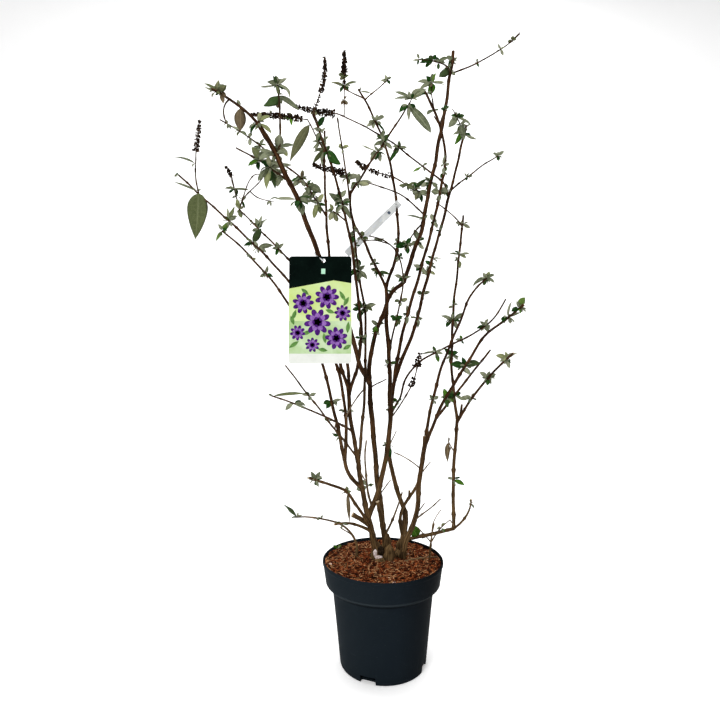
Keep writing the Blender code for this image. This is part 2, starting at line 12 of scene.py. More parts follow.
import bmesh
import bpy
import numpy as np
from mathutils import Matrix, Vector

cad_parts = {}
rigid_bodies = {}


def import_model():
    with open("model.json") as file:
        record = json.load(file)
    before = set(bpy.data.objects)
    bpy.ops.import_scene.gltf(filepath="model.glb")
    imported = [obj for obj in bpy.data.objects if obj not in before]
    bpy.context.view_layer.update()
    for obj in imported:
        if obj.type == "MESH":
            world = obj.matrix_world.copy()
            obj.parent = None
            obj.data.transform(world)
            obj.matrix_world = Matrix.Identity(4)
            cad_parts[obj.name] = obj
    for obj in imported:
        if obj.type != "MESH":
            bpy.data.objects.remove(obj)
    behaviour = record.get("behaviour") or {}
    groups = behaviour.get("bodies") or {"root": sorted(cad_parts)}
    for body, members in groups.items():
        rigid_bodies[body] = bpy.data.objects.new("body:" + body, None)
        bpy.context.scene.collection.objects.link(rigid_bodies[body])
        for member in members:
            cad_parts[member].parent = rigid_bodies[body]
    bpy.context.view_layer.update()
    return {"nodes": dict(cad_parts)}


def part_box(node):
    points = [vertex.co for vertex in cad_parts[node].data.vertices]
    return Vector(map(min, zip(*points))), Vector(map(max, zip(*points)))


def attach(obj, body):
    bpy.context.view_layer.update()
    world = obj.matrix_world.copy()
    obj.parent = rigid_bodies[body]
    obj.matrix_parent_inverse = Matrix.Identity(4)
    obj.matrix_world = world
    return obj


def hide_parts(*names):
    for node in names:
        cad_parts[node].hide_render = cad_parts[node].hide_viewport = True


LOG = logging.getLogger("butterfly_bush")
Triple = tuple[float, float, float]

MM = 0.001
SWAY_SCALE = 10.392
SEED = 20
BODY = "root"


def rng(*key: object) -> np.random.Generator:
    """Return a random source that depends only on the words and numbers given.

    Args:
        key: The words and numbers.

    Returns:
        The source.
    """
    text = "|".join(str(part) for part in key)
    number = sum((index + 1) * ord(letter) * 7919 for index, letter in enumerate(text))
    return np.random.default_rng(number + SEED)


def unit(vector: np.ndarray) -> np.ndarray:
    """Return the vector with length one."""
    return vector / max(float(np.linalg.norm(vector)), 1e-9)


class Slot(Enum):
    """The record's material slots."""

    POT = "pot_plastic"
    CHIPS = "bark_chips"
    BARK = "bark"
    LEAF = "leaf"
    FLOWER = "dried_flower"
    CARD = "tag_card"
    TIE = "tie_plastic"
    STRIP = "strip_plastic"


class Tint(Enum):
    """The leaf colours that the bush shows."""

    DARK = "dark"
    BRIGHT = "bright"
    GREY = "grey"
    OLIVE = "olive"
    PALE = "pale"
    DEAD = "dead"


class Space(Enum):
    """Where a material reads its coordinates."""

    OBJECT = "object"
    GRAIN = "grain"
    BLADE = "blade"


Socket = bpy.types.NodeSocket
Value = "Socket | float | Triple"


class NodeTree:
    """A thin helper that adds shader nodes to one material."""

    def __init__(self, name: str) -> None:
        """Make the material with an output and a shader that the other nodes feed.

        Args:
            name: The material's name.
        """
        self.material = bpy.data.materials.new(name)
        self.material.use_nodes = True
        self.nodes = self.material.node_tree.nodes
        self.links = self.material.node_tree.links
        self.nodes.clear()
        output = self.nodes.new("ShaderNodeOutputMaterial")
        self.shader = self.nodes.new("ShaderNodeBsdfPrincipled")
        self.feed(output, {"Surface": self.shader.outputs["BSDF"]})

    def feed(self, node: bpy.types.Node, inputs: "dict[str | int, Value]") -> None:
        """Give a node's inputs a link, a number or a colour each; None leaves an input as it is.

        Args:
            node: The node.
            inputs: What each input gets.
        """
        for name, value in inputs.items():
            socket = node.inputs[name]
            if isinstance(value, Socket):
                self.links.new(value, socket)
            elif value is not None:
                socket.default_value = (*value, 1.0) if socket.type == "RGBA" else value

    def add(
        self, kind: str, inputs: "dict[str | int, Value]", result: "str | int", **settings: str
    ) -> Socket:
        """Add one shader node.

        Args:
            kind: The node's type.
            inputs: What its inputs are given.
            result: The output that is used.
            settings: The node's own settings.

        Returns:
            The output's socket.
        """
        node = self.nodes.new(f"ShaderNode{kind}")
        for name, value in settings.items():
            setattr(node, name, value)
        self.feed(node, inputs)
        return node.outputs[result]

    def space(self, space: Space, scale: Triple = (1.0, 1.0, 1.0)) -> Socket:
        """Return object coordinates, or one of the mesh's own attributes, scaled along each axis.

        Args:
            space: Which coordinates.
            scale: The factor along each axis.

        Returns:
            The coordinates.
        """
        if space is Space.OBJECT:
            source = self.add("TexCoord", {}, "Object")
        else:
            source = self.add("Attribute", {}, "Vector", attribute_name=space.value)
        return self.add("Mapping", {"Vector": source, "Scale": scale}, "Vector")

    def noise(self, where: Socket, scale: float, detail: float = 4.0) -> Socket:
        """Return a noise value between 0 and 1."""
        inputs = {"Vector": where, "Scale": scale, "Detail": detail, "Roughness": 0.6}
        return self.add("TexNoise", inputs, "Fac")

    def ramp(self, value: Socket, *stops: tuple[float, Triple]) -> Socket:
        """Return a colour for a value, from places between 0 and 1 that have a colour each.

        Args:
            value: The value.
            stops: The places with their colours.

        Returns:
            The colour.
        """
        colour = self.add("ValToRGB", {"Fac": value}, "Color")
        elements = colour.node.color_ramp.elements
        while len(elements) < len(stops):
            elements.new(0.5)
        for element, (place, shade) in zip(elements, stops):
            element.position = place
            element.color = (*shade, 1.0)
        return colour

    def fade(self, value: Socket, low: float, high: float, most: float = 1.0) -> Socket:
        """Return 0 where the value is at low, most where it is at high and between them in between."""
        inputs = {"Value": value, "From Min": low, "From Max": high, "To Max": most}
        return self.add("MapRange", inputs, "Result")

    def part(self, where: Socket, axis: str) -> Socket:
        """Return one coordinate, X, Y or Z."""
        return self.add("SeparateXYZ", {"Vector": where}, axis)

    def math(self, kind: str, first: Socket, second: Value = 0.0) -> Socket:
        """Return what a math node, such as SINE or FRACT, makes of one or two values."""
        return self.add("Math", {0: first, 1: second}, "Value", operation=kind)

    def times(self, first: Socket, second: Value) -> Socket:
        """Return a product."""
        return self.math("MULTIPLY", first, second)

    def plus(self, first: Socket, second: Value) -> Socket:
        """Return a sum."""
        return self.math("ADD", first, second)

    def blend(self, share: Socket, first: Value, second: Value) -> Socket:
        """Return a mix of two colours, in which the second one shows by its share.

        Args:
            share: The second colour's share.
            first: The first colour.
            second: The second colour.

        Returns:
            The mixed colour.
        """
        first_colour, second_colour, mixed = 6, 7, 2
        inputs = {"Factor": share, first_colour: first, second_colour: second}
        return self.add("Mix", inputs, mixed, data_type="RGBA")

    def bump(self, height: Socket, strength: float, distance: float) -> None:
        """Raise the surface by a height, where one unit is the distance in metres."""
        raised = self.add("Bump", {"Height": height, "Strength": strength, "Distance": distance}, "Normal")
        self.feed(self.shader, {"Normal": raised})

    def paint(self, colour: Socket, roughness: float, sheen: float) -> bpy.types.Material:
        """Return the material, finished with its colour, its roughness and its specular level."""
        self.feed(self.shader, {"Base Color": colour, "Roughness": roughness, "Specular IOR Level": sheen})
        return self.material


@dataclass(frozen=True)
class Bark:
    """The finish of canes and twigs: streaked, with dark patches and a greyer foot."""

    name: str
    dark: Triple = (0.008, 0.0032, 0.0014)
    middle: Triple = (0.042, 0.0165, 0.0055)
    light: Triple = (0.155, 0.074, 0.029)
    old: Triple = (0.232, 0.146, 0.064)
    ripe: Triple = (0.062, 0.034, 0.012)
    old_top: float = 0.82
    old_foot: float = 0.32

    def make(self) -> bpy.types.Material:
        """Return the finish as a material.

        Returns:
            The material.
        """
        tree = NodeTree(self.name)
        streak = tree.noise(tree.space(Space.GRAIN, (420.0, 420.0, 16.0)), 1.0, 5.0)
        patch = tree.noise(tree.space(Space.GRAIN, (60.0, 60.0, 22.0)), 1.0, 3.0)
        young = tree.ramp(streak, (0.3, self.dark), (0.5, self.middle), (0.74, self.light))
        fibre = tree.noise(tree.space(Space.GRAIN, (700.0, 700.0, 9.0)), 1.0, 6.0)
        grown = tree.ramp(fibre, (0.26, self.dark), (0.4, self.ripe), (0.62, self.old))
        height = tree.part(tree.space(Space.OBJECT), "Z")
        wander = tree.plus(height, tree.times(patch, 0.22))
        age = tree.fade(wander, self.old_top, self.old_foot)
        bark = tree.blend(age, young, grown)
        shade = tree.fade(patch, 0.62, 0.38)
        bark = tree.blend(tree.times(shade, 0.7), bark, self.dark)
        tree.bump(tree.plus(streak, fibre), 0.5, 0.0012)
        return tree.paint(bark, 0.62, 0.035)


@dataclass(frozen=True)
class LeafFace:
    """The finish of one side of a leaf, with a paler midrib and faint side veins."""

    name: str
    base: Triple
    edge: Triple
    rib: Triple
    roughness: float = 0.6

    def make(self) -> bpy.types.Material:
        """Return the finish as a material.

        Returns:
            The material.
        """
        tree = NodeTree(self.name)
        where = tree.space(Space.BLADE)
        mottle = tree.noise(tree.space(Space.OBJECT), 130.0, 4.0)
        broad = tree.noise(tree.space(Space.OBJECT), 28.0, 2.0)
        colour = tree.ramp(mottle, (0.32, self.edge), (0.62, self.base))
        colour = tree.blend(tree.times(tree.fade(broad, 0.45, 0.7), 0.5), colour, self.edge)
        across = tree.math("ABSOLUTE", tree.part(where, "Y"))
        along = tree.part(where, "X")
        slant = tree.math("SUBTRACT", tree.times(along, 60.0), tree.times(across, 9.0))
        vein = tree.fade(tree.math("SINE", slant), 0.55, 1.0)
        colour = tree.blend(tree.times(vein, 0.1), colour, self.rib)
        rib = tree.fade(across, 0.14, 0.03)
        colour = tree.blend(tree.times(rib, 0.6), colour, self.rib)
        tone = tree.math("FRACT", tree.part(where, "Z"))
        colour = tree.blend(tree.fade(tone, 0.55, 1.0, 0.45), colour, self.rib)
        colour = tree.blend(tree.fade(tone, 0.45, 0.0, 0.55), colour, self.edge)
        tree.bump(tree.plus(mottle, vein), 0.35, 0.0008)
        return tree.paint(colour, self.roughness, 0.025)


@dataclass(frozen=True)
class Crumb:
    """The finish of loose dry bits: a base colour with darker and lighter flecks."""

    name: str
    dark: Triple
    middle: Triple
    light: Triple
    scale: float = 260.0
    roughness: float = 0.8
    bump: float = 0.5

    def make(self) -> bpy.types.Material:
        """Return the finish as a material.

        Returns:
            The material.
        """
        tree = NodeTree(self.name)
        fleck = tree.noise(tree.space(Space.OBJECT), self.scale, 5.0)
        colour = tree.ramp(fleck, (0.34, self.dark), (0.52, self.middle), (0.7, self.light))
        tree.bump(fleck, self.bump, 0.001)
        return tree.paint(colour, self.roughness, 0.02)


@dataclass(frozen=True)
class PotPlastic:
    """Dark blue-grey moulded plastic with dust, a few scuffs and specks; painted light makes it lighter at
    the left, painted shade darkens it at the right and under the collar, and a painted highlight runs along
    the collar's lower edge.
    """

    name: str = "pot_plastic"
    dark: Triple = (0.0052, 0.0086, 0.0125)
    # Dust colour, also used as painted light on the left side.
    dusty: Triple = (0.0118, 0.0165, 0.0198)
    # Colour of the painted shade under the collar and on the right side.
    clean: Triple = (0.002, 0.0024, 0.0026)
    scuffed: Triple = (0.05, 0.056, 0.062)
    # Colour of the painted highlight along the collar's lower edge.
    worn: Triple = (0.04, 0.05, 0.054)
    speck: Triple = (0.09, 0.098, 0.095)

    def make(self) -> bpy.types.Material:
        """Return the finish as a material.

        Returns:
            The material.
        """
        tree = NodeTree(self.name)
        where = tree.space(Space.OBJECT)
        right, height = tree.part(where, "X"), tree.part(where, "Z")
        dust = tree.noise(where, 9.0, 6.0)
        # Dust noise all over, plus painted light that lightens the left side towards x = -0.17.
        share = tree.times(tree.plus(tree.times(dust, 0.7), tree.fade(right, 0.02, -0.17)), 0.62)
        colour = tree.blend(share, self.dark, self.dusty)
        scuff = tree.noise(tree.space(Space.OBJECT, (14.0, 14.0, 150.0)), 1.0, 5.0)
        colour = tree.blend(tree.times(tree.fade(scuff, 0.68, 0.8), 0.3), colour, self.scuffed)
        colour = tree.blend(tree.fade(tree.noise(where, 330.0, 2.0), 0.7, 0.78, 0.35), colour, self.speck)
        # Painted highlight: a light line along the collar's lower edge.
        collar_highlight = tree.times(tree.fade(height, 0.2015, 0.2035), tree.fade(height, 0.2085, 0.207))
        colour = tree.blend(tree.times(collar_highlight, 0.32), colour, self.worn)
        # Painted shade on the underside of the collar's step.
        under = tree.times(tree.fade(height, 0.19, 0.1935), tree.fade(height, 0.2015, 0.199))
        colour = tree.blend(tree.times(under, 0.85), colour, self.clean)
        # Painted shade: the right side of the pot is darkened towards x = 0.13.
        colour = tree.blend(tree.times(tree.fade(right, 0.03, 0.13), 0.85), colour, self.clean)
        tree.bump(tree.plus(tree.noise(where, 210.0, 3.0), scuff), 0.12, 0.0006)
        return tree.paint(colour, 0.55, 0.008)


@dataclass(frozen=True)
class Card:
    """Printed glossy card: one colour that wanders a little."""

    name: str
    first: Triple
    second: Triple
    scale: float = 30.0
    roughness: float = 0.32

    def make(self) -> bpy.types.Material:
        """Return the finish as a material.

        Returns:
            The material.
        """
        tree = NodeTree(self.name)
        wander = tree.noise(tree.space(Space.OBJECT), self.scale, 3.0)
        colour = tree.ramp(wander, (0.35, self.first), (0.65, self.second))
        return tree.paint(colour, self.roughness, 0.008)


@dataclass(frozen=True)
class ClearPlastic:
    """Pale plastic that lets some light through."""

    name: str
    body: Triple
    shade: Triple
    clear: float
    scale: float = 18.0

    def make(self) -> bpy.types.Material:
        """Return the finish as a material.

        Returns:
            The material.
        """
        tree = NodeTree(self.name)
        cloud = tree.noise(tree.space(Space.OBJECT), self.scale, 2.0)
        colour = tree.ramp(cloud, (0.38, self.shade), (0.6, self.body))
        tree.shader.inputs["Transmission Weight"].default_value = self.clear
        tree.shader.inputs["IOR"].default_value = 1.3
        return tree.paint(colour, 0.35, 0.4)


LEAF_COLOURS = {
    Tint.DARK: ((0.013, 0.066, 0.007), (0.005, 0.016, 0.004), (0.035, 0.085, 0.018), (0.05, 0.075, 0.028)),
    Tint.BRIGHT: ((0.06, 0.165, 0.01), (0.028, 0.085, 0.006), (0.14, 0.26, 0.04), (0.125, 0.2, 0.045)),
    Tint.GREY: ((0.185, 0.205, 0.125), (0.07, 0.084, 0.045), (0.32, 0.34, 0.225), (0.26, 0.275, 0.18)),
    Tint.OLIVE: ((0.122, 0.142, 0.058), (0.062, 0.076, 0.03), (0.225, 0.245, 0.125), (0.175, 0.178, 0.09)),
    Tint.PALE: ((0.26, 0.28, 0.125), (0.16, 0.18, 0.075), (0.4, 0.41, 0.23), (0.31, 0.32, 0.185)),
    Tint.DEAD: ((0.15, 0.108, 0.06), (0.042, 0.026, 0.014), (0.26, 0.2, 0.12), (0.16, 0.12, 0.07)),
}


def made(*finishes: "Bark | Crumb | Card | ClearPlastic") -> list[bpy.types.Material]:
    """Return finishes as materials."""
    return [finish.make() for finish in finishes]


class Finishes:
    """All finishes of the plant, each made once."""

    def __init__(self) -> None:
        """Make every material."""
        self.bark, self.twig, self.dead_wood = made(
            Bark("bark"),
            Bark("twig_bark", (0.01, 0.005, 0.0025), (0.055, 0.028, 0.012), (0.15, 0.088, 0.042)),
            Bark("dead_wood", (0.05, 0.034, 0.022), (0.165, 0.12, 0.078), (0.36, 0.285, 0.2)),
        )
        self.cut, self.fresh_cut, self.hollow = made(
            Crumb("cut_wood", (0.25, 0.16, 0.095), (0.52, 0.4, 0.26), (0.72, 0.62, 0.46), 500.0),
            Crumb("fresh_cut", (0.42, 0.3, 0.27), (0.72, 0.61, 0.58), (0.86, 0.79, 0.77), 300.0),
            # Near-black: painted shade of the crown's hollow, over its dark inner wood.
            Crumb("hollow_wood", (0.004, 0.003, 0.002), (0.018, 0.011, 0.006), (0.06, 0.04, 0.022)),
        )
        self.pot = PotPlastic().make()
        self.leaf = [side for tint, colours in LEAF_COLOURS.items() for side in self.sides(tint, *colours)]
        self.florets = made(
            Crumb("dry_floret", (0.004, 0.0025, 0.002), (0.016, 0.009, 0.006), (0.06, 0.038, 0.024), 420),
            Crumb("dry_floret_light", (0.015, 0.008, 0.004), (0.06, 0.034, 0.018), (0.17, 0.105, 0.06), 420),
        )
        self.chips = made(
            Crumb("chip_dark", (0.004, 0.0012, 0.0007), (0.026, 0.0065, 0.0028), (0.07, 0.018, 0.007)),
            Crumb("chip_middle", (0.022, 0.004, 0.0014), (0.088, 0.018, 0.005), (0.18, 0.044, 0.014)),
            Crumb("chip_orange", (0.065, 0.014, 0.004), (0.235, 0.062, 0.018), (0.45, 0.165, 0.06)),
            Crumb("chip_tan", (0.15, 0.066, 0.026), (0.36, 0.18, 0.08), (0.58, 0.35, 0.19)),
            Crumb("chip_pale", (0.42, 0.3, 0.24), (0.68, 0.54, 0.47), (0.86, 0.76, 0.7)),
        )
        soil = Crumb("soil", (0.012, 0.004, 0.002), (0.06, 0.017, 0.007), (0.15, 0.048, 0.02), 150, 0.9, 0.9)
        self.soil = soil.make()
        self.card = made(
            Card("tag_header", (0.0012, 0.003, 0.0024), (0.0022, 0.0055, 0.0042)),
            Card("tag_ground", (0.48, 0.6, 0.19), (0.56, 0.68, 0.4), 14.0),
            Card("tag_ground_deep", (0.33, 0.48, 0.21), (0.5, 0.62, 0.4), 22.0),
            Card("tag_mint", (0.33, 0.6, 0.43), (0.42, 0.68, 0.5)),
            Card("tag_blank", (0.64, 0.66, 0.61), (0.7, 0.715, 0.67)),
            Card("tag_back", (0.74, 0.75, 0.7), (0.8, 0.81, 0.77)),
            Card("tag_petal", (0.04, 0.006, 0.1), (0.085, 0.02, 0.185), 160.0),
            Card("tag_petal_light", (0.18, 0.075, 0.3), (0.27, 0.14, 0.41), 160.0),
            Card("tag_leaf", (0.06, 0.15, 0.035), (0.13, 0.27, 0.07), 120.0),
        )
        self.tie = ClearPlastic("tie_plastic", (0.74, 0.76, 0.76), (0.46, 0.5, 0.52), 0.15).make()
        self.strip = made(
            ClearPlastic("strip_plastic", (0.78, 0.79, 0.78), (0.46, 0.48, 0.49), 0.25),
            Card("strip_edge", (0.42, 0.45, 0.5), (0.52, 0.55, 0.6), 90.0),
            Card("strip_mark", (0.05, 0.07, 0.1), (0.08, 0.1, 0.14), 200.0),
            Card("strip_band", (0.66, 0.68, 0.72), (0.72, 0.74, 0.78)),
        )

    @staticmethod
    def sides(tint: Tint, base: Triple, edge: Triple, rib: Triple, under: Triple) -> list[bpy.types.Material]:
        """Return the materials of the upper side and the underside of leaves of one colour.

        Args:
            tint: The colour's name.
            base: The blade's colour.
            edge: Its darker parts' colour.
            rib: The veins' colour.
            under: The underside's colour.

        Returns:
            Both materials.
        """
        low = tuple(0.55 * value for value in under)
        upper_side = LeafFace(f"leaf_{tint.value}", base, edge, rib, 0.5)
        return [upper_side.make(), LeafFace(f"leaf_{tint.value}_under", under, low, rib, 0.75).make()]




@dataclass(frozen=True)
class Kink:
    """A small bend at one share of a limb.

    It goes right and up by so many millimetres, and reach is the share of the limb that it takes.
    """

    share: float
    right: float
    up: float = 0
    reach: float = 0.13


@dataclass(frozen=True)
class Limb:
    """One cane or branch, in millimetres: a bowed and swayed line from foot to tip, with its girth at both.

    The foot is a share of the parent's way from foot to tip or, without a parent, a point.
    """

    name: str
    parent: str
    foot: "float | Triple"
    tip: Triple
    girth: tuple[float, float]
    bow: Triple = (0, 0, 0)
    sway: Triple = (0, 0, 0)
    kink: "Kink | None" = None


class Twig(Limb):
    """A limb whose tip is measured from its own foot."""


CANES = (
    Limb("left_stem", "", (-15, -10, 275), (-65, -30, 520), (16, 11), (-5, 0, 0)),
    Limb("centre_trunk", "", (10, 0, 275), (-35, 20, 735), (14, 12), (-5, 0, 0)),
    Limb("right_trunk", "", (50, 30, 268), (65, 50, 365), (16, 13), (5, 0, 0)),
    Limb("front_right_stem", "", (55, 0, 275), (110, -30, 560), (12, 10), (10, 0, -5), (5, 0, 0),
        Kink(0.13, -8)),
    Limb("low_right_bough", "", (70, 30, 298), (195, 20, 330), (9, 8)),
    Limb("bottom_left_bough", "", (-70, 10, 256.5), (-245, 70, 345), (5, 3), (30, 0, 40), (10, 0, 5)),
    Limb("left_leader", "centre_trunk", 0.97, (-265, -380, 1255), (11.5, 9), (10, -25, -10), (-10, 5, 0),
        Kink(0.28, 14)),
    Limb("left_leader_tip", "left_leader", 0.985, (-345, -420, 1300), (5, 3), (5, 0, 5)),
    Limb("slim_cane", "left_leader", 0.035, (-120, -60, 1425), (6, 2.5), (10, 0, 0), (0, 0, 0),
        Kink(0.24, 9)),
    Limb("left_branch", "left_stem", 0.71, (-100, -45, 530), (10, 9), (-10, 0, -5)),
    Limb("far_left_cane", "left_branch", 0.985, (-605, 120, 1340), (8, 4), (105, 5, 55), (20, 0, 10)),
    Limb("low_left_cane", "left_branch", 0.94, (-410, -100, 1110), (8, 3), (55, 0, 30), (-5, 0, 0),
        Kink(0.38, 11)),
    Limb("low_left_bough", "left_stem", 0.22, (-185, -120, 495), (8, 5), (20, 5, 20), (0, 0, 0),
        Kink(0.58, 5, 7)),
    Limb("middle_stem", "left_stem", 0.985, (-90, -20, 705), (10.5, 9.5), (-5, 0, 0)),
    Limb("far_low_left_bough", "middle_stem", 0.42, (-275, -130, 695), (4.5, 2.5), (20, -50, 5)),
    Limb("middle_left_cane", "middle_stem", 0.99, (-165, 100, 1465), (8.5, 5), (-20, 5, 0), (0, 0, 0),
        Kink(0.08, -9)),
    Limb("back_left_cane", "middle_stem", 0.96, (-460, 280, 1285), (8, 3), (60, 15, 25), (15, 0, 0)),
    Limb("middle_cane", "middle_stem", 0.93, (-180, -120, 1405), (8, 4), (55, 20, 16), (5, 0, -5),
        Kink(0.18, 11)),
    Limb("long_left_bough", "middle_left_cane", 0.65, (-455, 20, 1460), (5, 2.5), (15, 0, 20), (0, 0, 0),
        Kink(0.3, 8, 7)),
    Limb("centre_stem", "left_stem", 0.39, (15, 60, 1000), (13, 9.5), (35, 0, -5), (10, 0, 0)),
    Limb("centre_cane", "centre_stem", 0.99, (-65, 140, 1615), (8, 4.5), (65, 0, 5), (0, 0, 0),
        Kink(0.19, 10)),
    Limb("centre_left_arm", "centre_stem", 0.975, (-85, 0, 1250), (7, 5.5), (-20, 0, -5), (5, 0, 10),
        Kink(0.49, 7, 4)),
    Limb("diagonal_bough", "centre_left_arm", 0.985, (65, 40, 1490), (5.5, 3.5)),
    Limb("right_leader_foot", "centre_trunk", 0.995, (65, 40, 1005), (11, 10.5), (-25, 0, 10), (0, 0, 0),
        Kink(0.84, -6, 4)),
    Limb("right_leader", "right_leader_foot", 0.99, (220, 100, 1710), (11.3, 8.8), (15, 0, -5), (0, 0, 0),
        Kink(0.22, 7)),
    Limb("far_right_bough", "right_leader", 0.9, (440, 160, 1805), (4, 2), (10, 0, -10)),
    Limb("back_right_stem", "right_trunk", 0.98, (45, 100, 740), (12, 10.5), (-35, 0, 0), (0, 0, 0),
        Kink(0.7, 7)),
    Limb("back_right_cane", "back_right_stem", 0.99, (295, 280, 1570), (9.5, 6.3), (10, 5, -5), (0, 0, 0),
        Kink(0.19, 8)),
    Limb("right_cane", "back_right_stem", 0.96, (110, -80, 1485), (9, 5), (55, 5, 10), (-25, 0, -10),
        Kink(0.78, 11)),
    Limb("back_right_bough", "back_right_cane", 0.72, (390, 240, 1450), (4.5, 2.5), (0, 0, 5)),
    Limb("long_back_bough", "back_right_cane", 0.7, (-135, 170, 1555), (5, 3), (15, 0, 25), (0, 0, 0),
        Kink(0.1, 8, 7)),
    Limb("back_lateral", "back_right_stem", 0.67, (395, 200, 975), (5, 3.5), (-20, 5, 25), (-15, 0, 30),
        Kink(0.09, 12, 0, 0.08)),
    Limb("inner_right_cane", "front_right_stem", 0.985, (315, 80, 1030), (8, 4), (-30, 5, 15), (0, 0, 0),
        Kink(0.86, -10, 6)),
    Limb("outer_right_cane", "front_right_stem", 0.95, (320, -200, 910), (8, 4), (-25, 5, 20), (0, 0, 0),
        Kink(0.74, -7, 6)),
    Limb("short_right_cane", "outer_right_cane", 0.2, (285, -30, 810), (6, 4)),
    Limb("right_side_cane", "low_right_bough", 0.98, (210, 40, 625), (8, 7.5), (-5, 0, 5)),
    Limb("right_side_leader", "right_side_cane", 0.985, (255, 150, 1225), (7, 5.2), (-20, 5, 0), (-5, 0, 0)),
    Limb("right_side_arm", "right_side_cane", 0.95, (325, -100, 800), (6, 4), (-5, 5, 10)),
    Limb("low_right_tip", "low_right_bough", 0.96, (230, -30, 420), (5, 3), (10, 0, -5)),
)

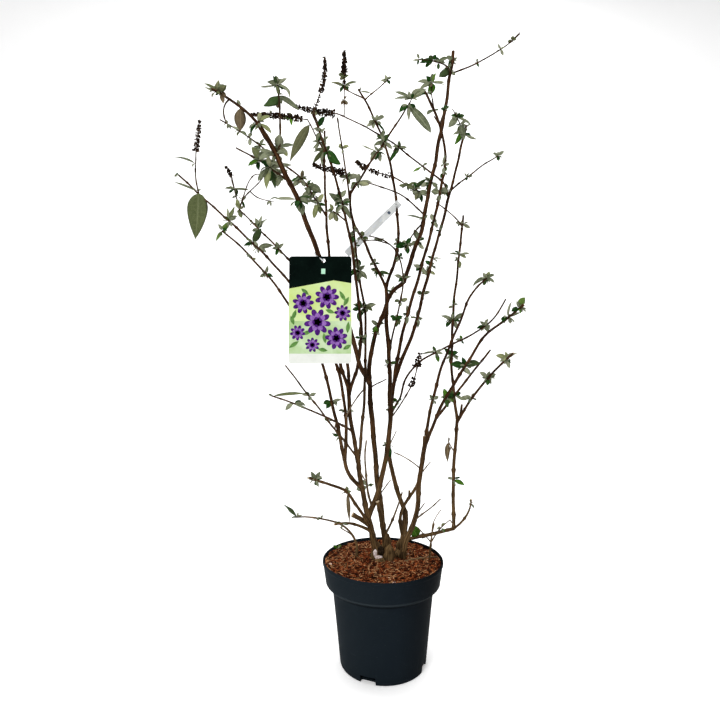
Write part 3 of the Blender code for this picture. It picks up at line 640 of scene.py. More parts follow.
TWIGS = (
    Limb("rim_twig", "", (122, -7, 250), (136, -7, 352), (4.2, 2.8), (-2, 0, 0)),
    Limb("mulch_root", "", (50, -18, 256), (146, 13, 257.5), (4.6, 3), (0, 0, 2)),
    Limb("fibrous_stub", "", (-71, 27, 248), (-69, 24, 290), (7.5, 3.5), (1, 0, 0)),
    Limb("mulch_shoot", "", (-124, 64, 250), (-122, 62, 263), (1.2, 0.8)),
    Twig("slim_cane_foot", "left_stem", 0.99, (18, 25, 245), (7.5, 5.5), (4, 0, 0)),
    Twig("left_inner_twig", "left_leader", 0.82, (-120, 30, 85), (3.4, 1.8), (5, 0, 0)),
    Twig("left_stalk", "left_leader", 0.89, (-5, 10, 160), (3.6, 2.4), (5, 0, 0)),
    Twig("thin_left_cane", "middle_stem", 0.07, (-175, -100, 240), (4.6, 2.4), (-5, 0, 5)),
    Twig("thin_left_loop", "thin_left_cane", 0.18, (-20, 25, 45), (2, 1.4), (-12, 0, 0)),
    Twig("dead_rod", "centre_stem", 0.04, (-15, -30, 180), (5, 3.2), (-10, 0, 5)),
    Twig("dead_rod_arm", "left_stem", 0.89, (15, -20, -20), (3.2, 2.4)),
    Twig("cut_stub", "centre_trunk", 0.13, (-16, -24, 78), (10, 9)),
    Twig("stub_a", "middle_stem", 0.02, (0, 0, 30), (8, 7)),
    Twig("stub_b", "left_branch", 1.0, (-10, 0, 40), (8, 7)),
    Twig("stub_c", "front_right_stem", 0.98, (0, 0, 30), (8, 7)),
    Twig("stub_d", "right_side_arm", 0.07, (5, 0, 35), (6, 5)),
    Twig("stub_e", "left_stem", 0.31, (-45, -10, 30), (11, 9.5)),
    Twig("second_stem", "right_trunk", 0.33, (45, 0, 180), (8, 7), (-15, 0, 5), (-10, 0, 5)),
    Twig("second_stem_stub", "second_stem", 0.58, (0, 0, 20), (5, 4)),
    Twig("strand", "centre_stem", 0.66, (-55, 0, 350), (4.6, 2.4), (65, 0, 25), (-20, 0, -15)),
    Twig("low_branch", "left_stem", 0.24, (-95, -40, 30), (7, 4), (0, 0, 10)),
    Twig("low_thread", "bottom_left_bough", 0.23, (-35, -10, 25), (2.2, 1.4)),
    Twig("back_left_fork", "back_left_cane", 1.0, (85, 20, 150), (3.4, 1.8), (0, 0, 0), (-5, 0, 5)),
    Twig("back_left_prong", "back_left_cane", 1.0, (-35, 20, 115), (3.2, 1.8), (0, 0, 5)),
    Twig("fork_arc", "back_left_cane", 1.0, (80, -30, 100), (3, 1.8), (-10, 0, 30), (0, 0, -10)),
    Twig("fork_lateral", "back_left_fork", 0.41, (85, -20, -40), (2.6, 1.6), (0, 0, -10)),
    Twig("leader_left_shoot", "right_leader", 0.9, (-100, -20, 30), (3.4, 2.2), (10, 0, 15), (5, 0, 0)),
    Twig("leader_left_lateral", "right_leader", 0.28, (-170, -30, 85), (3.6, 2), (10, 0, 15)),
    Twig("side_leader_lateral", "right_side_leader", 0.94, (-85, -30, 65), (3, 1.8), (5, 0, 5)),
    Twig("right_down_lateral", "right_leader", 0.25, (-55, -40, -85), (3, 1.8), (-5, 0, 0)),
    Twig("tuft_stalk", "right_cane", 0.93, (-3, 10, 82), (2.6, 1.6), (-4, 0, 0)),
    Twig("back_right_prong", "back_right_cane", 0.95, (-40, -20, 85), (3.4, 2.2), (5, 0, 0)),
    Twig("centre_prong", "centre_cane", 0.94, (75, 10, 75), (3.2, 2)),
    Twig("centre_prong_left", "centre_cane", 0.95, (-60, -10, 25), (3, 1.8)),
    Twig("centre_lateral", "centre_cane", 0.53, (75, -30, -60), (3, 1.8)),
    Twig("middle_lateral", "middle_cane", 0.61, (-35, -10, 25), (3, 2)),
    Twig("dried_stalk", "back_right_stem", 0.68, (80, -30, 185), (3, 1.8), (15, 0, -5)),
    Twig("straight_twig", "front_right_stem", 0.31, (65, -30, 65), (3, 1.8)),
    Twig("straight_twig_b", "front_right_stem", 0.36, (25, 10, 30), (2.4, 1.6)),
    Twig("dark_twig", "centre_trunk", 0.09, (50, 20, 110), (5, 2.6), (5, 0, 0)),
    Twig("faint_a", "back_right_stem", 0.46, (20, -20, 50), (2.2, 1.4)),
    Twig("faint_b", "front_right_stem", 0.79, (-70, 20, 40), (2.4, 1.4), (0, 0, 5)),
    Twig("faint_c", "front_right_stem", 0.74, (30, 20, 30), (2.2, 1.4)),
    Twig("faint_d", "centre_trunk", 0.32, (30, -20, 45), (2.2, 1.4)),
    Twig("faint_e", "centre_trunk", 0.94, (45, -20, 25), (2.4, 1.6)),
    Twig("cross_twig", "slim_cane_foot", 0.77, (-48, -30, -72), (2.6, 1.6), (-4, 0, 3)),
    Twig("top_strand_a", "middle_left_cane", 0.94, (-35, 10, 110), (3.4, 2.2)),
    Twig("top_strand_b", "middle_left_cane", 0.91, (-50, -10, 95), (3.4, 2.2)),
    Twig("spike_stalk_small", "back_left_cane", 1.0, (-25, -10, 110), (2.8, 1.6)),
    Twig("left_spike_stalk", "far_left_cane", 0.91, (-10, 0, 130), (3, 2), (-5, 0, 0)),
    Twig("thin_right_twig", "right_cane", 0.88, (-15, 0, 25), (2.4, 1.6)),
    Twig("knot_twig", "right_cane", 0.88, (15, 0, 45), (2.8, 1.8)),
    Twig("arm_thread", "centre_left_arm", 0.5, (105, 100, -15), (1.8, 1.2), (10, 0, 15)),
    Twig("dry_bit", "right_side_cane", 0.66, (-20, -10, 35), (2.2, 1.4)),
    Twig("dry_bit_b", "dry_bit", 0.52, (-10, 0, -30), (2, 1.4)),
    Twig("far_thread", "far_right_bough", 0.81, (35, 0, 35), (2, 1.2)),
    Twig("left_thread", "left_leader_tip", 0.68, (-5, 0, -50), (1.8, 1.2), (-10, 0, 5)),
    Twig("rim_branch", "rim_twig", 0.52, (50, -10, 62), (2.6, 1.4), (0, 0, 5)),
    Twig("rim_branch_tip", "rim_branch", 0.98, (10, 0, -16), (1.4, 1)),
    Twig("rim_branch_left", "rim_twig", 0.52, (-34, 0, 38), (2, 1.2)),
    Twig("rim_thread", "rim_twig", 0.72, (26, 8, 62), (1.6, 1), (-8, 0, 0)),
    Twig("high_centre_twig", "diagonal_bough", 0.98, (26, 0, 45), (3, 2)),
)

DEAD_TWIGS = ("dead_rod", "dead_rod_arm", "straight_twig", "straight_twig_b", "faint_a", "faint_b", "faint_c",
              "faint_d", "cross_twig", "low_thread", "dry_bit", "dry_bit_b", "thin_left_loop",
              "mulch_root", "fibrous_stub", "rim_branch_tip", "rim_thread")


BARK_DEPTH = 1.3


class Skeleton:
    """The lines of all limbs, and points and directions along them."""

    STEPS = 240

    def __init__(self, limbs: tuple[Limb, ...]) -> None:
        """Lay out every limb, each after the one that carries it.

        Args:
            limbs: The limbs, parents first.
        """
        self.limbs: dict[str, Limb] = {}
        self.lines: dict[str, np.ndarray] = {}
        for limb in limbs:
            self.add(limb)

    def add(self, limb: Limb) -> None:
        """Add one limb; a parent that is named has to be there already.

        Args:
            limb: The limb.
        """
        foot = self.at(limb.parent, limb.foot) if limb.parent else MM * np.array(limb.foot)
        tip = MM * np.array(limb.tip) + (foot if isinstance(limb, Twig) else 0)
        t = np.linspace(0.0, 1.0, self.STEPS + 1)[:, None]
        line = foot + t * (tip - foot) + 4 * t * (1 - t) * MM * np.array(limb.bow)
        line = line + SWAY_SCALE * t * (1 - t) * (1 - 2 * t) * MM * np.array(limb.sway)
        if limb.kink:
            swell = np.exp(-(((t - limb.kink.share) / limb.kink.reach) ** 2))
            swell = swell * np.clip(t * 12, 0, 1) * np.clip((1 - t) * 12, 0, 1)
            line = line + swell * MM * np.array((limb.kink.right, 0.0, limb.kink.up))
        self.limbs[limb.name] = limb
        self.lines[limb.name] = line

    def length(self, name: str) -> float:
        """Return a limb's length in metres."""
        return float(np.linalg.norm(np.diff(self.lines[name], axis=0), axis=1).sum())

    def at(self, name: str, share: float) -> np.ndarray:
        """Return the point at a share of a limb's way from foot to tip.

        Args:
            name: The limb's name.
            share: The share.

        Returns:
            The point.
        """
        place = min(max(share, 0.0), 1.0) * self.STEPS
        low = min(int(place), self.STEPS - 1)
        line = self.lines[name]
        return line[low] + (place - low) * (line[low + 1] - line[low])

    def along(self, name: str, share: float) -> np.ndarray:
        """Return a limb's unit direction at a share."""
        return unit(self.at(name, min(share + 0.01, 1.0)) - self.at(name, max(share - 0.01, 0.0)))

    def radius(self, name: str, share: float) -> float:
        """Return a limb's radius in metres at a share."""
        foot, tip = self.limbs[name].girth
        return 0.5 * MM * (BARK_DEPTH + foot + (tip - foot) * share)


def new_mesh(name: str, bm: bmesh.types.BMesh, materials: list[bpy.types.Material]) -> bpy.types.Object:
    """Turn a bmesh into an object in the scene.

    Args:
        name: The object's name.
        bm: The finished bmesh, which is freed.
        materials: The materials, in the order of the faces' indices.

    Returns:
        The object.
    """
    mesh = bpy.data.meshes.new(name)
    bm.to_mesh(mesh)
    bm.free()
    piece = bpy.data.objects.new(name, mesh)
    bpy.context.scene.collection.objects.link(piece)
    for material in materials:
        mesh.materials.append(material)
    mesh.shade_smooth()
    return piece


def hand_over(piece: bpy.types.Object, node: str = "") -> None:
    """Join a piece to the plant's body and hide the node that it stands for.

    Args:
        piece: The piece.
        node: The node; none where the piece stands for no node.
    """
    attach(piece, BODY)
    if node:
        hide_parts(node)


@dataclass(frozen=True)
class CaneStyle:
    """How a cane's surface is modelled."""

    ring: float = 0.0048
    sides: int = 12
    ridge: float = 0.06
    grain: float = 0.05
    node_gap: float = 0.062
    node_swell: float = 0.2
    bud: float = 0.55
    flare: float = 0.3
    wander: float = 0.0011


THICK = CaneStyle(ring=0.0042, sides=14, ridge=0.085, grain=0.075, node_gap=0.085, node_swell=0.13, bud=0.25,
                  wander=0.0016)
CANE = CaneStyle()
THIN = CaneStyle(ring=0.006, sides=8, ridge=0.05, grain=0.06, node_gap=0.04, node_swell=0.28, bud=0.6,
                 wander=0.0014)


class Cane:
    """One limb's surface: ribbed bark with swollen nodes, paired buds and cut ends."""

    def __init__(self, skeleton: Skeleton, name: str, style: CaneStyle) -> None:
        """Keep what the surface follows.

        Args:
            skeleton: The limbs' lines.
            name: The limb.
            style: How fine and how rough the bark is.
        """
        self.skeleton = skeleton
        self.name = name
        self.style = style
        self.source = rng("cane", name)
        self.length = skeleton.length(name)

    def nodes(self) -> list[float]:
        """Return where the nodes sit, in metres from the foot.

        Returns:
            The distances.
        """
        places = []
        place = self.style.node_gap * float(self.source.uniform(0.5, 1.0))
        while place < self.length - 0.004:
            places.append(place)
            place += self.style.node_gap * float(self.source.uniform(0.75, 1.25))
        return places

    def centres(self, rings: int) -> tuple[np.ndarray, np.ndarray]:
        """Return the rings' centres and their distances from the foot.

        Args:
            rings: How many rings.

        Returns:
            The centres and the distances.
        """
        shares = np.linspace(0.0, 1.0, rings)
        points = np.array([self.skeleton.at(self.name, share) for share in shares])
        steps = np.linalg.norm(np.diff(points, axis=0), axis=1)
        run = np.concatenate(([0.0], np.cumsum(steps)))
        ease = np.clip(run / 0.03, 0, 1) * np.clip((run[-1] - run) / 0.03, 0, 1)
        for axis in range(3):
            phase = self.source.uniform(0, 6.28, 2)
            wave = np.sin(run / 0.017 + phase[0]) + np.sin(run / 0.029 + phase[1])
            points[:, axis] += 0.5 * self.style.wander * ease * wave
        return points, run

    def frames(self, points: np.ndarray) -> tuple[np.ndarray, np.ndarray]:
        """Return two unit vectors square to the line at each ring, without twist.

        Args:
            points: The rings' centres.

        Returns:
            The first and the second vector of each ring.
        """
        heading = np.gradient(points, axis=0)
        heading = heading / np.linalg.norm(heading, axis=1)[:, None]
        first = np.zeros_like(points)
        side = unit(np.cross(heading[0], (0.31, -0.9, 0.3)))
        for index, ahead in enumerate(heading):
            side = unit(side - ahead * float(side @ ahead))
            first[index] = side
        return first, np.cross(heading, first)

    def relief(self, run: np.ndarray, angle: np.ndarray) -> np.ndarray:
        """Return the bark's factor on the radius for rings by sides.

        Args:
            run: The rings' distances from the foot.
            angle: The sides' angles.

        Returns:
            The factors.
        """
        style = self.style
        bark = np.zeros((len(run), len(angle)))
        for ribs in (2, 3, 5):
            phase, drift = self.source.uniform(0, 6.28, 2)
            lean = np.sin(run / (0.02 * ribs) + drift)[:, None] * 0.9
            bark += style.ridge * np.cos(ribs * angle[None, :] + phase + lean) / math.sqrt(ribs)
        speckle = self.source.normal(0.0, 1.0, bark.shape)
        speckle[1:] = 0.6 * speckle[1:] + 0.4 * speckle[:-1]
        bark += style.grain * 0.5 * speckle
        turn = float(self.source.uniform(0, 3.14))
        for number, place in enumerate(self.nodes()):
            swell = np.exp(-(((run - place) / 0.0045) ** 2))
            bud = np.exp(-(((run - place - 0.0035) / 0.0036) ** 2))
            facing = np.abs(np.cos(angle - turn - number * 1.571)) ** 10
            bark += style.node_swell * swell[:, None] + style.bud * bud[:, None] * facing[None, :]
        return 1.0 + bark

    def build(self, bm: bmesh.types.BMesh, cut: int = 0) -> None:
        """Add the cane to a bmesh as one closed tube.

        Args:
            bm: The bmesh, which has a vector layer named grain on its vertices.
            cut: The material index of the tip's cut face.
        """
        style = self.style
        rings = max(int(self.length / style.ring) + 1, 5)
        sides = style.sides
        points, run = self.centres(rings)
        first, second = self.frames(points)
        angle = np.linspace(0.0, 2 * math.pi, sides + 1)
        factor = self.relief(run, angle[:-1])
        factor = np.concatenate((factor, factor[:, :1]), axis=1)
        foot, tip = self.skeleton.limbs[self.name].girth
        radius = 0.5 * MM * (BARK_DEPTH + foot + (tip - foot) * run / run[-1])
        if self.skeleton.limbs[self.name].parent:
            radius = radius * (1 + style.flare * np.exp(-run / 0.008))
        reach = radius[:, None] * factor
        around = (
            first[:, None, :] * (np.cos(angle)[None, :] * reach)[..., None]
            + second[:, None, :] * (np.sin(angle)[None, :] * reach)[..., None]
        )
        places = points[:, None, :] + around
        shift = self.source.uniform(0, 9, 3)
        grain = bm.verts.layers.float_vector["grain"]
        made = bmesh.ops.create_grid(bm, x_segments=rings - 1, y_segments=sides, size=1.0)["verts"]
        for vert in made:
            ring = round((vert.co.x + 1) / 2 * (rings - 1))
            side = round((vert.co.y + 1) / 2 * sides)
            vert.co = places[ring, side]
            flat = reach[ring, side]
            vert[grain] = (
                shift[0] + flat * math.cos(angle[side]),
                shift[1] + flat * math.sin(angle[side]),
                shift[2] + run[ring],
            )
        bmesh.ops.remove_doubles(bm, verts=made, dist=1e-6)
        made = [vert for vert in made if vert.is_valid]
        edges = [edge for edge in {edge for vert in made for edge in vert.link_edges} if edge.is_boundary]
        caps = bmesh.ops.holes_fill(bm, edges=edges, sides=0)["faces"]
        end = Vector(points[-1])
        for face in caps:
            if (face.calc_center_median() - end).length < 0.004:
                face.material_index = cut
        faces = list({face for vert in made for face in vert.link_faces})
        bmesh.ops.recalc_face_normals(bm, faces=faces)


def style_of(limb: Limb) -> CaneStyle:
    """Return the surface style that suits a limb's girth.

    Args:
        limb: The limb.

    Returns:
        The style.
    """
    if limb.girth[0] >= 9.5:
        return THICK
    return CANE if limb.girth[0] >= 3.9 else THIN


class Wood:
    """All canes and twigs."""

    def __init__(self, skeleton: Skeleton, finishes: Finishes) -> None:
        """Keep the lines and the finishes."""
        self.skeleton = skeleton
        self.finishes = finishes

    def piece(self, name: str, limbs: list[str], materials: list[bpy.types.Material]) -> bpy.types.Object:
        """Build several limbs as one mesh.

        Args:
            name: The piece's name.
            limbs: The limbs' names.
            materials: The bark and the cut wood.

        Returns:
            The piece.
        """
        bm = bmesh.new()
        bm.verts.layers.float_vector.new("grain")
        for limb in limbs:
            Cane(self.skeleton, limb, style_of(self.skeleton.limbs[limb])).build(bm, 1)
        return new_mesh(name, bm, materials)

    def build(self) -> None:
        """Build every cane in place of its node, and the twigs in two joined pieces."""
        done = self.finishes
        for cane in CANES:
            piece = self.piece(f"{cane.name}_bark", [cane.name], [done.bark, done.cut])
            hand_over(piece, cane.name)
        live = [limb.name for limb in TWIGS if limb.name not in DEAD_TWIGS]
        hand_over(self.piece("twigs", live, [done.twig, done.cut]))
        hand_over(self.piece("dead_twigs", list(DEAD_TWIGS), [done.dead_wood, done.cut]))
        LOG.info("wood: %d canes and %d twigs", len(CANES), len(TWIGS))


@dataclass(frozen=True)
class Pot:
    """The nursery pot: a spun wall with a stepped collar, and notches under the foot.

    The outer and inner profiles are radii and heights in millimetres.
    """

    steps: int = 144
    outer: tuple[tuple[float, float], ...] = (
        (108, 0), (110, 0.4), (111.1, 1.4), (112, 4), (117.2, 53), (122.4, 101), (127.5, 147), (131, 178),
        (132.5, 192), (133.2, 194), (135, 194.9), (136.5, 195), (140, 196.4), (143.5, 199), (147, 201.8),
        (149.2, 204), (150, 205.6), (150.1, 207.2), (149.7, 208), (150.5, 210), (153.5, 229), (155.2, 240),
        (156.6, 250), (156.9, 251.2), (157.7, 251.8), (158.4, 253), (158.6, 257), (158, 259.8), (157, 261),
    )
    inner: tuple[tuple[float, float], ...] = (
        (155.6, 260.8), (154.8, 259.5), (154, 251), (150.5, 224), (147, 208), (140, 201), (130, 196),
        (109, 8), (106, 5.2),
    )
    floor: float = 5.2
    notch_width: float = 0.04
    notch_depth: float = 0.015
    notch_height: float = 0.018
    notch_bearings: tuple[float, ...] = (-112.0, -22.0, 68.0, 158.0)

    def wall(self, name: str, material: bpy.types.Material) -> bpy.types.Object:
        """Spin the wall and floor as one closed body.

        Args:
            name: The piece's name.
            material: The plastic.

        Returns:
            The piece.
        """
        bm = bmesh.new()
        profile = ((0, 0), *self.outer, *self.inner, (0, self.floor))
        verts = [bm.verts.new((MM * radius, 0, MM * height)) for radius, height in profile]
        edges = [bm.edges.new(pair) for pair in zip(verts, verts[1:])]
        turn = {"cent": (0, 0, 0), "axis": (0, 0, 1), "angle": 2 * math.pi, "steps": self.steps}
        bmesh.ops.spin(bm, geom=verts + edges, use_merge=True, **turn)
        bmesh.ops.remove_doubles(bm, verts=bm.verts[:], dist=2e-6)
        bmesh.ops.recalc_face_normals(bm, faces=bm.faces[:])
        return new_mesh(name, bm, [material])

    def cutter(self, bearing: float) -> bpy.types.Object:
        """Return a rounded block that cuts one notch.

        Args:
            bearing: The notch's bearing in degrees.

        Returns:
            The block.
        """
        bm = bmesh.new()
        bmesh.ops.create_cube(bm, size=1.0)
        size = (2 * self.notch_depth, self.notch_width, 2 * self.notch_height)
        bmesh.ops.scale(bm, vec=size, verts=bm.verts[:])
        upright = [edge for edge in bm.edges if spans(edge, 2, self.notch_height)]
        bmesh.ops.bevel(bm, geom=upright, offset=0.004, segments=4, profile=0.5, affect="EDGES", material=-1)
        out = Matrix.Translation((MM * self.outer[3][0], 0, 0))
        place = Matrix.Rotation(math.radians(bearing), 4, "Z") @ out
        bmesh.ops.transform(bm, matrix=place, verts=bm.verts[:])
        return new_mesh("notch_cutter", bm, [])

    def build(self, finishes: Finishes) -> None:
        """Build the pot in place of its node.

        Args:
            finishes: All finishes.
        """
        wall = self.wall("pot_wall", finishes.pot)
        for bearing in self.notch_bearings:
            cutter = self.cutter(bearing)
            cut = wall.modifiers.new("notch", "BOOLEAN")
            cut.operation = "DIFFERENCE"
            cut.solver = "EXACT"
            cut.object = cutter
            bake(wall)
            bpy.data.objects.remove(cutter)
        wall.data.set_sharp_from_angle(angle=math.radians(38))
        hand_over(wall, "pot")
        LOG.info("pot: %d faces", len(wall.data.polygons))


def spans(edge: bmesh.types.BMEdge, axis: int, least: float) -> bool:
    """Return whether an edge's ends lie more than a least distance apart along an axis."""
    return abs(edge.verts[0].co[axis] - edge.verts[1].co[axis]) > least


def bake(piece: bpy.types.Object) -> None:
    """Apply a piece's modifiers to its mesh.

    Args:
        piece: The piece.
    """
    depsgraph = bpy.context.evaluated_depsgraph_get()
    done = bpy.data.meshes.new_from_object(piece.evaluated_get(depsgraph))
    piece.modifiers.clear()
    piece.data = done


@dataclass(frozen=True)
class ChipKind:
    """One sort of loose bit on the substrate.

    Its size ranges are in millimetres, and finish is its finish's number. Damp says how much it keeps to the
    damp dark patches (towards 1) or to the dry light ones (towards -1).
    """

    count: int
    length: tuple[float, float]
    width: tuple[float, float]
    depth: tuple[float, float]
    finish: int
    damp: float


@dataclass(frozen=True)
class Mulch:
    """Loose bark chips, crumbs and fibres that lie on the substrate."""

    radius: float = 0.1515
    level: float = 0.253
    kinds: tuple[ChipKind, ...] = (
        ChipKind(1500, (5, 14), (3, 8), (1.0, 2.8), 0, 1.0),
        ChipKind(1700, (5, 15), (3, 8), (1.0, 2.8), 1, 0.3),
        ChipKind(900, (4, 13), (2.5, 7), (0.8, 2.4), 2, -0.6),
        ChipKind(300, (4, 11), (2, 6), (0.8, 1.8), 3, -1.0),
        ChipKind(18, (5, 10), (3, 5), (1.2, 2.4), 4, -1.0),
        ChipKind(450, (14, 36), (1.0, 2.2), (0.7, 1.3), 0, 0.8),
        ChipKind(600, (14, 38), (1.1, 2.3), (0.7, 1.3), 2, -0.5),
        ChipKind(900, (14, 40), (1.2, 2.4), (0.7, 1.2), 3, -0.8),
    )

    def ground(self, x: np.ndarray, y: np.ndarray) -> np.ndarray:
        """Return the substrate's height, with low waves and a heap in the middle.

        Args:
            x: The points' x.
            y: The points' y.

        Returns:
            The heights.
        """
        out = np.hypot(x, y) / self.radius
        wave = 0.0016 * np.sin(52 * x + 1.0) * np.cos(47 * y) + 0.0012 * np.sin(110 * x + 85 * y)
        return self.level + wave + 0.0065 * np.exp(-((out / 0.55) ** 2)) - 0.0015 * out**6

    def damp(self, x: float, y: float) -> float:
        """Return how damp and dark the substrate is, about from -1 to 1.

        Args:
            x: The point's x.
            y: The point's y.

        Returns:
            The dampness.
        """
        wave = math.sin(31 * x + 2.0) * math.cos(37 * y + 0.6) + 0.6 * math.sin(83 * x + 61 * y)
        # A darker spot in front of and left of the crown, and a lighter stretch at the front rim.
        hollow = math.exp(-(((x + 0.05) / 0.05) ** 2) - ((y + 0.058) / 0.03) ** 2)
        rim = math.exp(-(((x - 0.02) / 0.075) ** 2) - ((y + 0.125) / 0.03) ** 2)
        return min(max(0.7 * wave + 1.8 * hollow - 1.2 * rim - 0.2, -1.0), 1.0)

    def templates(self) -> list[tuple[np.ndarray, list[tuple[int, ...]]]]:
        """Return unit chip shapes, made from dented and bevelled cubes.

        Returns:
            Each shape's points and faces.
        """
        shapes = []
        for number in range(6):
            source = rng("chip", number)
            bm = bmesh.new()
            bmesh.ops.create_cube(bm, size=1.0)
            lengthwise = [edge for edge in bm.edges if spans(edge, 0, 0.5)]
            bmesh.ops.subdivide_edges(bm, edges=lengthwise, cuts=1)
            for vert in bm.verts:
                slim = 1.0 - 0.45 * abs(vert.co.x) * float(source.uniform(0.2, 1.6))
                vert.co = (
                    vert.co.x * float(source.uniform(0.8, 1.1)),
                    vert.co.y * slim,
                    vert.co.z * slim + 0.25 * float(source.uniform(-1, 1)) * (1 - 4 * vert.co.x**2),
                )
            bm.verts.ensure_lookup_table()
            faces = [tuple(vert.index for vert in face.verts) for face in bm.faces]
            shapes.append((np.array([vert.co[:] for vert in bm.verts]), faces))
            bm.free()
        return shapes

    def scatter(self, finishes: Finishes) -> bpy.types.Object:
        """Return all chips as one joined piece.

        Args:
            finishes: All finishes.

        Returns:
            The piece.
        """
        shapes = self.templates()
        batch = Batch()
        source = rng("mulch")
        for kind in self.kinds:
            for _ in range(kind.count):
                out = self.radius * math.sqrt(float(source.uniform(0, 1)))
                turn = float(source.uniform(0, 2 * math.pi))
                x, y = out * math.cos(turn), out * math.sin(turn)
                if float(source.uniform(-1, 1)) > 1.0 + kind.damp * self.damp(x, y):
                    continue
                length, width, depth = (
                    MM * float(source.uniform(*limits)) for limits in (kind.length, kind.width, kind.depth)
                )
                lift = float(source.uniform(-0.001, 0.003))
                points, faces = shapes[int(source.integers(len(shapes)))]
                heading = float(source.uniform(0, 2 * math.pi))
                lean = float(source.normal(0, 0.22))
                if out + 0.5 * length > self.radius + 0.001:
                    heading = turn + math.pi / 2
                    lean *= 0.3
                turned = Matrix.Rotation(heading, 3, "Z") @ Matrix.Rotation(lean, 3, "Y")
                turned = np.array(turned @ Matrix.Rotation(float(source.normal(0, 0.5)), 3, "X"))
                z = float(self.ground(np.array(x), np.array(y))) + lift
                shaped = (points * (length, width, depth)) @ turned.T + (x, y, z)
                batch.add(shaped, faces, [kind.finish] * len(faces))
        return batch.build("bark_chips_loose", finishes.chips, smooth=False)

    def build(self, finishes: Finishes, nodes: dict[str, bpy.types.Object]) -> None:
        """Dress the substrate and lay the chips on it.

        Args:
            finishes: All finishes.
            nodes: The frame's nodes.
        """
        nodes["substrate"].data.materials.clear()
        nodes["substrate"].data.materials.append(finishes.soil)
        piece = self.scatter(finishes)
        hand_over(piece)
        LOG.info("mulch: %d faces", len(piece.data.polygons))


class Batch:
    """Copies of small shapes that are joined into one mesh."""

    def __init__(self) -> None:
        """Start empty."""
        self.points: list[np.ndarray] = []
        self.faces: list[tuple[int, ...]] = []
        self.slots: list[int] = []
        self.marks: list[np.ndarray] = []
        self.count = 0

    def add(
        self,
        points: np.ndarray,
        faces: list[tuple[int, ...]],
        slots: list[int],
        marks: "np.ndarray | None" = None,
    ) -> None:
        """Add one copy.

        Args:
            points: Its corners.
            faces: Its faces, as indices of its own corners.
            slots: Each face's material index.
            marks: A vector for each corner that the material reads, or none.
        """
        start = self.count
        self.points.append(points)
        self.marks.append(np.zeros_like(points) if marks is None else marks)
        self.faces.extend(tuple(start + index for index in face) for face in faces)
        self.slots.extend(slots)
        self.count += len(points)

    def build(
        self, name: str, materials: list[bpy.types.Material], smooth: bool = True, mark: str = ""
    ) -> bpy.types.Object:
        """Return the joined piece.

        Args:
            name: The piece's name.
            materials: The materials, in the order of the slots.
            smooth: Whether faces are shaded smooth.
            mark: The name of the attribute that carries the marks, or none.

        Returns:
            The piece.
        """
        mesh = bpy.data.meshes.new(name)
        mesh.from_pydata(np.concatenate(self.points).tolist(), [], self.faces)
        mesh.polygons.foreach_set("material_index", self.slots)
        mesh.polygons.foreach_set("use_smooth", [smooth] * len(self.faces))
        if mark:
            layer = mesh.attributes.new(mark, "FLOAT_VECTOR", "POINT")
            layer.data.foreach_set("vector", np.concatenate(self.marks).astype(np.float32).ravel())
        for material in materials:
            mesh.materials.append(material)
        mesh.update()
        piece = bpy.data.objects.new(name, mesh)
        bpy.context.scene.collection.objects.link(piece)
        return piece


@dataclass(frozen=True)
class Lump:
    """One knuckle of the root crown: middle, half sizes and roughness in metres."""

    name: str
    middle: Triple
    half: Triple
    rough: float = 0.0035


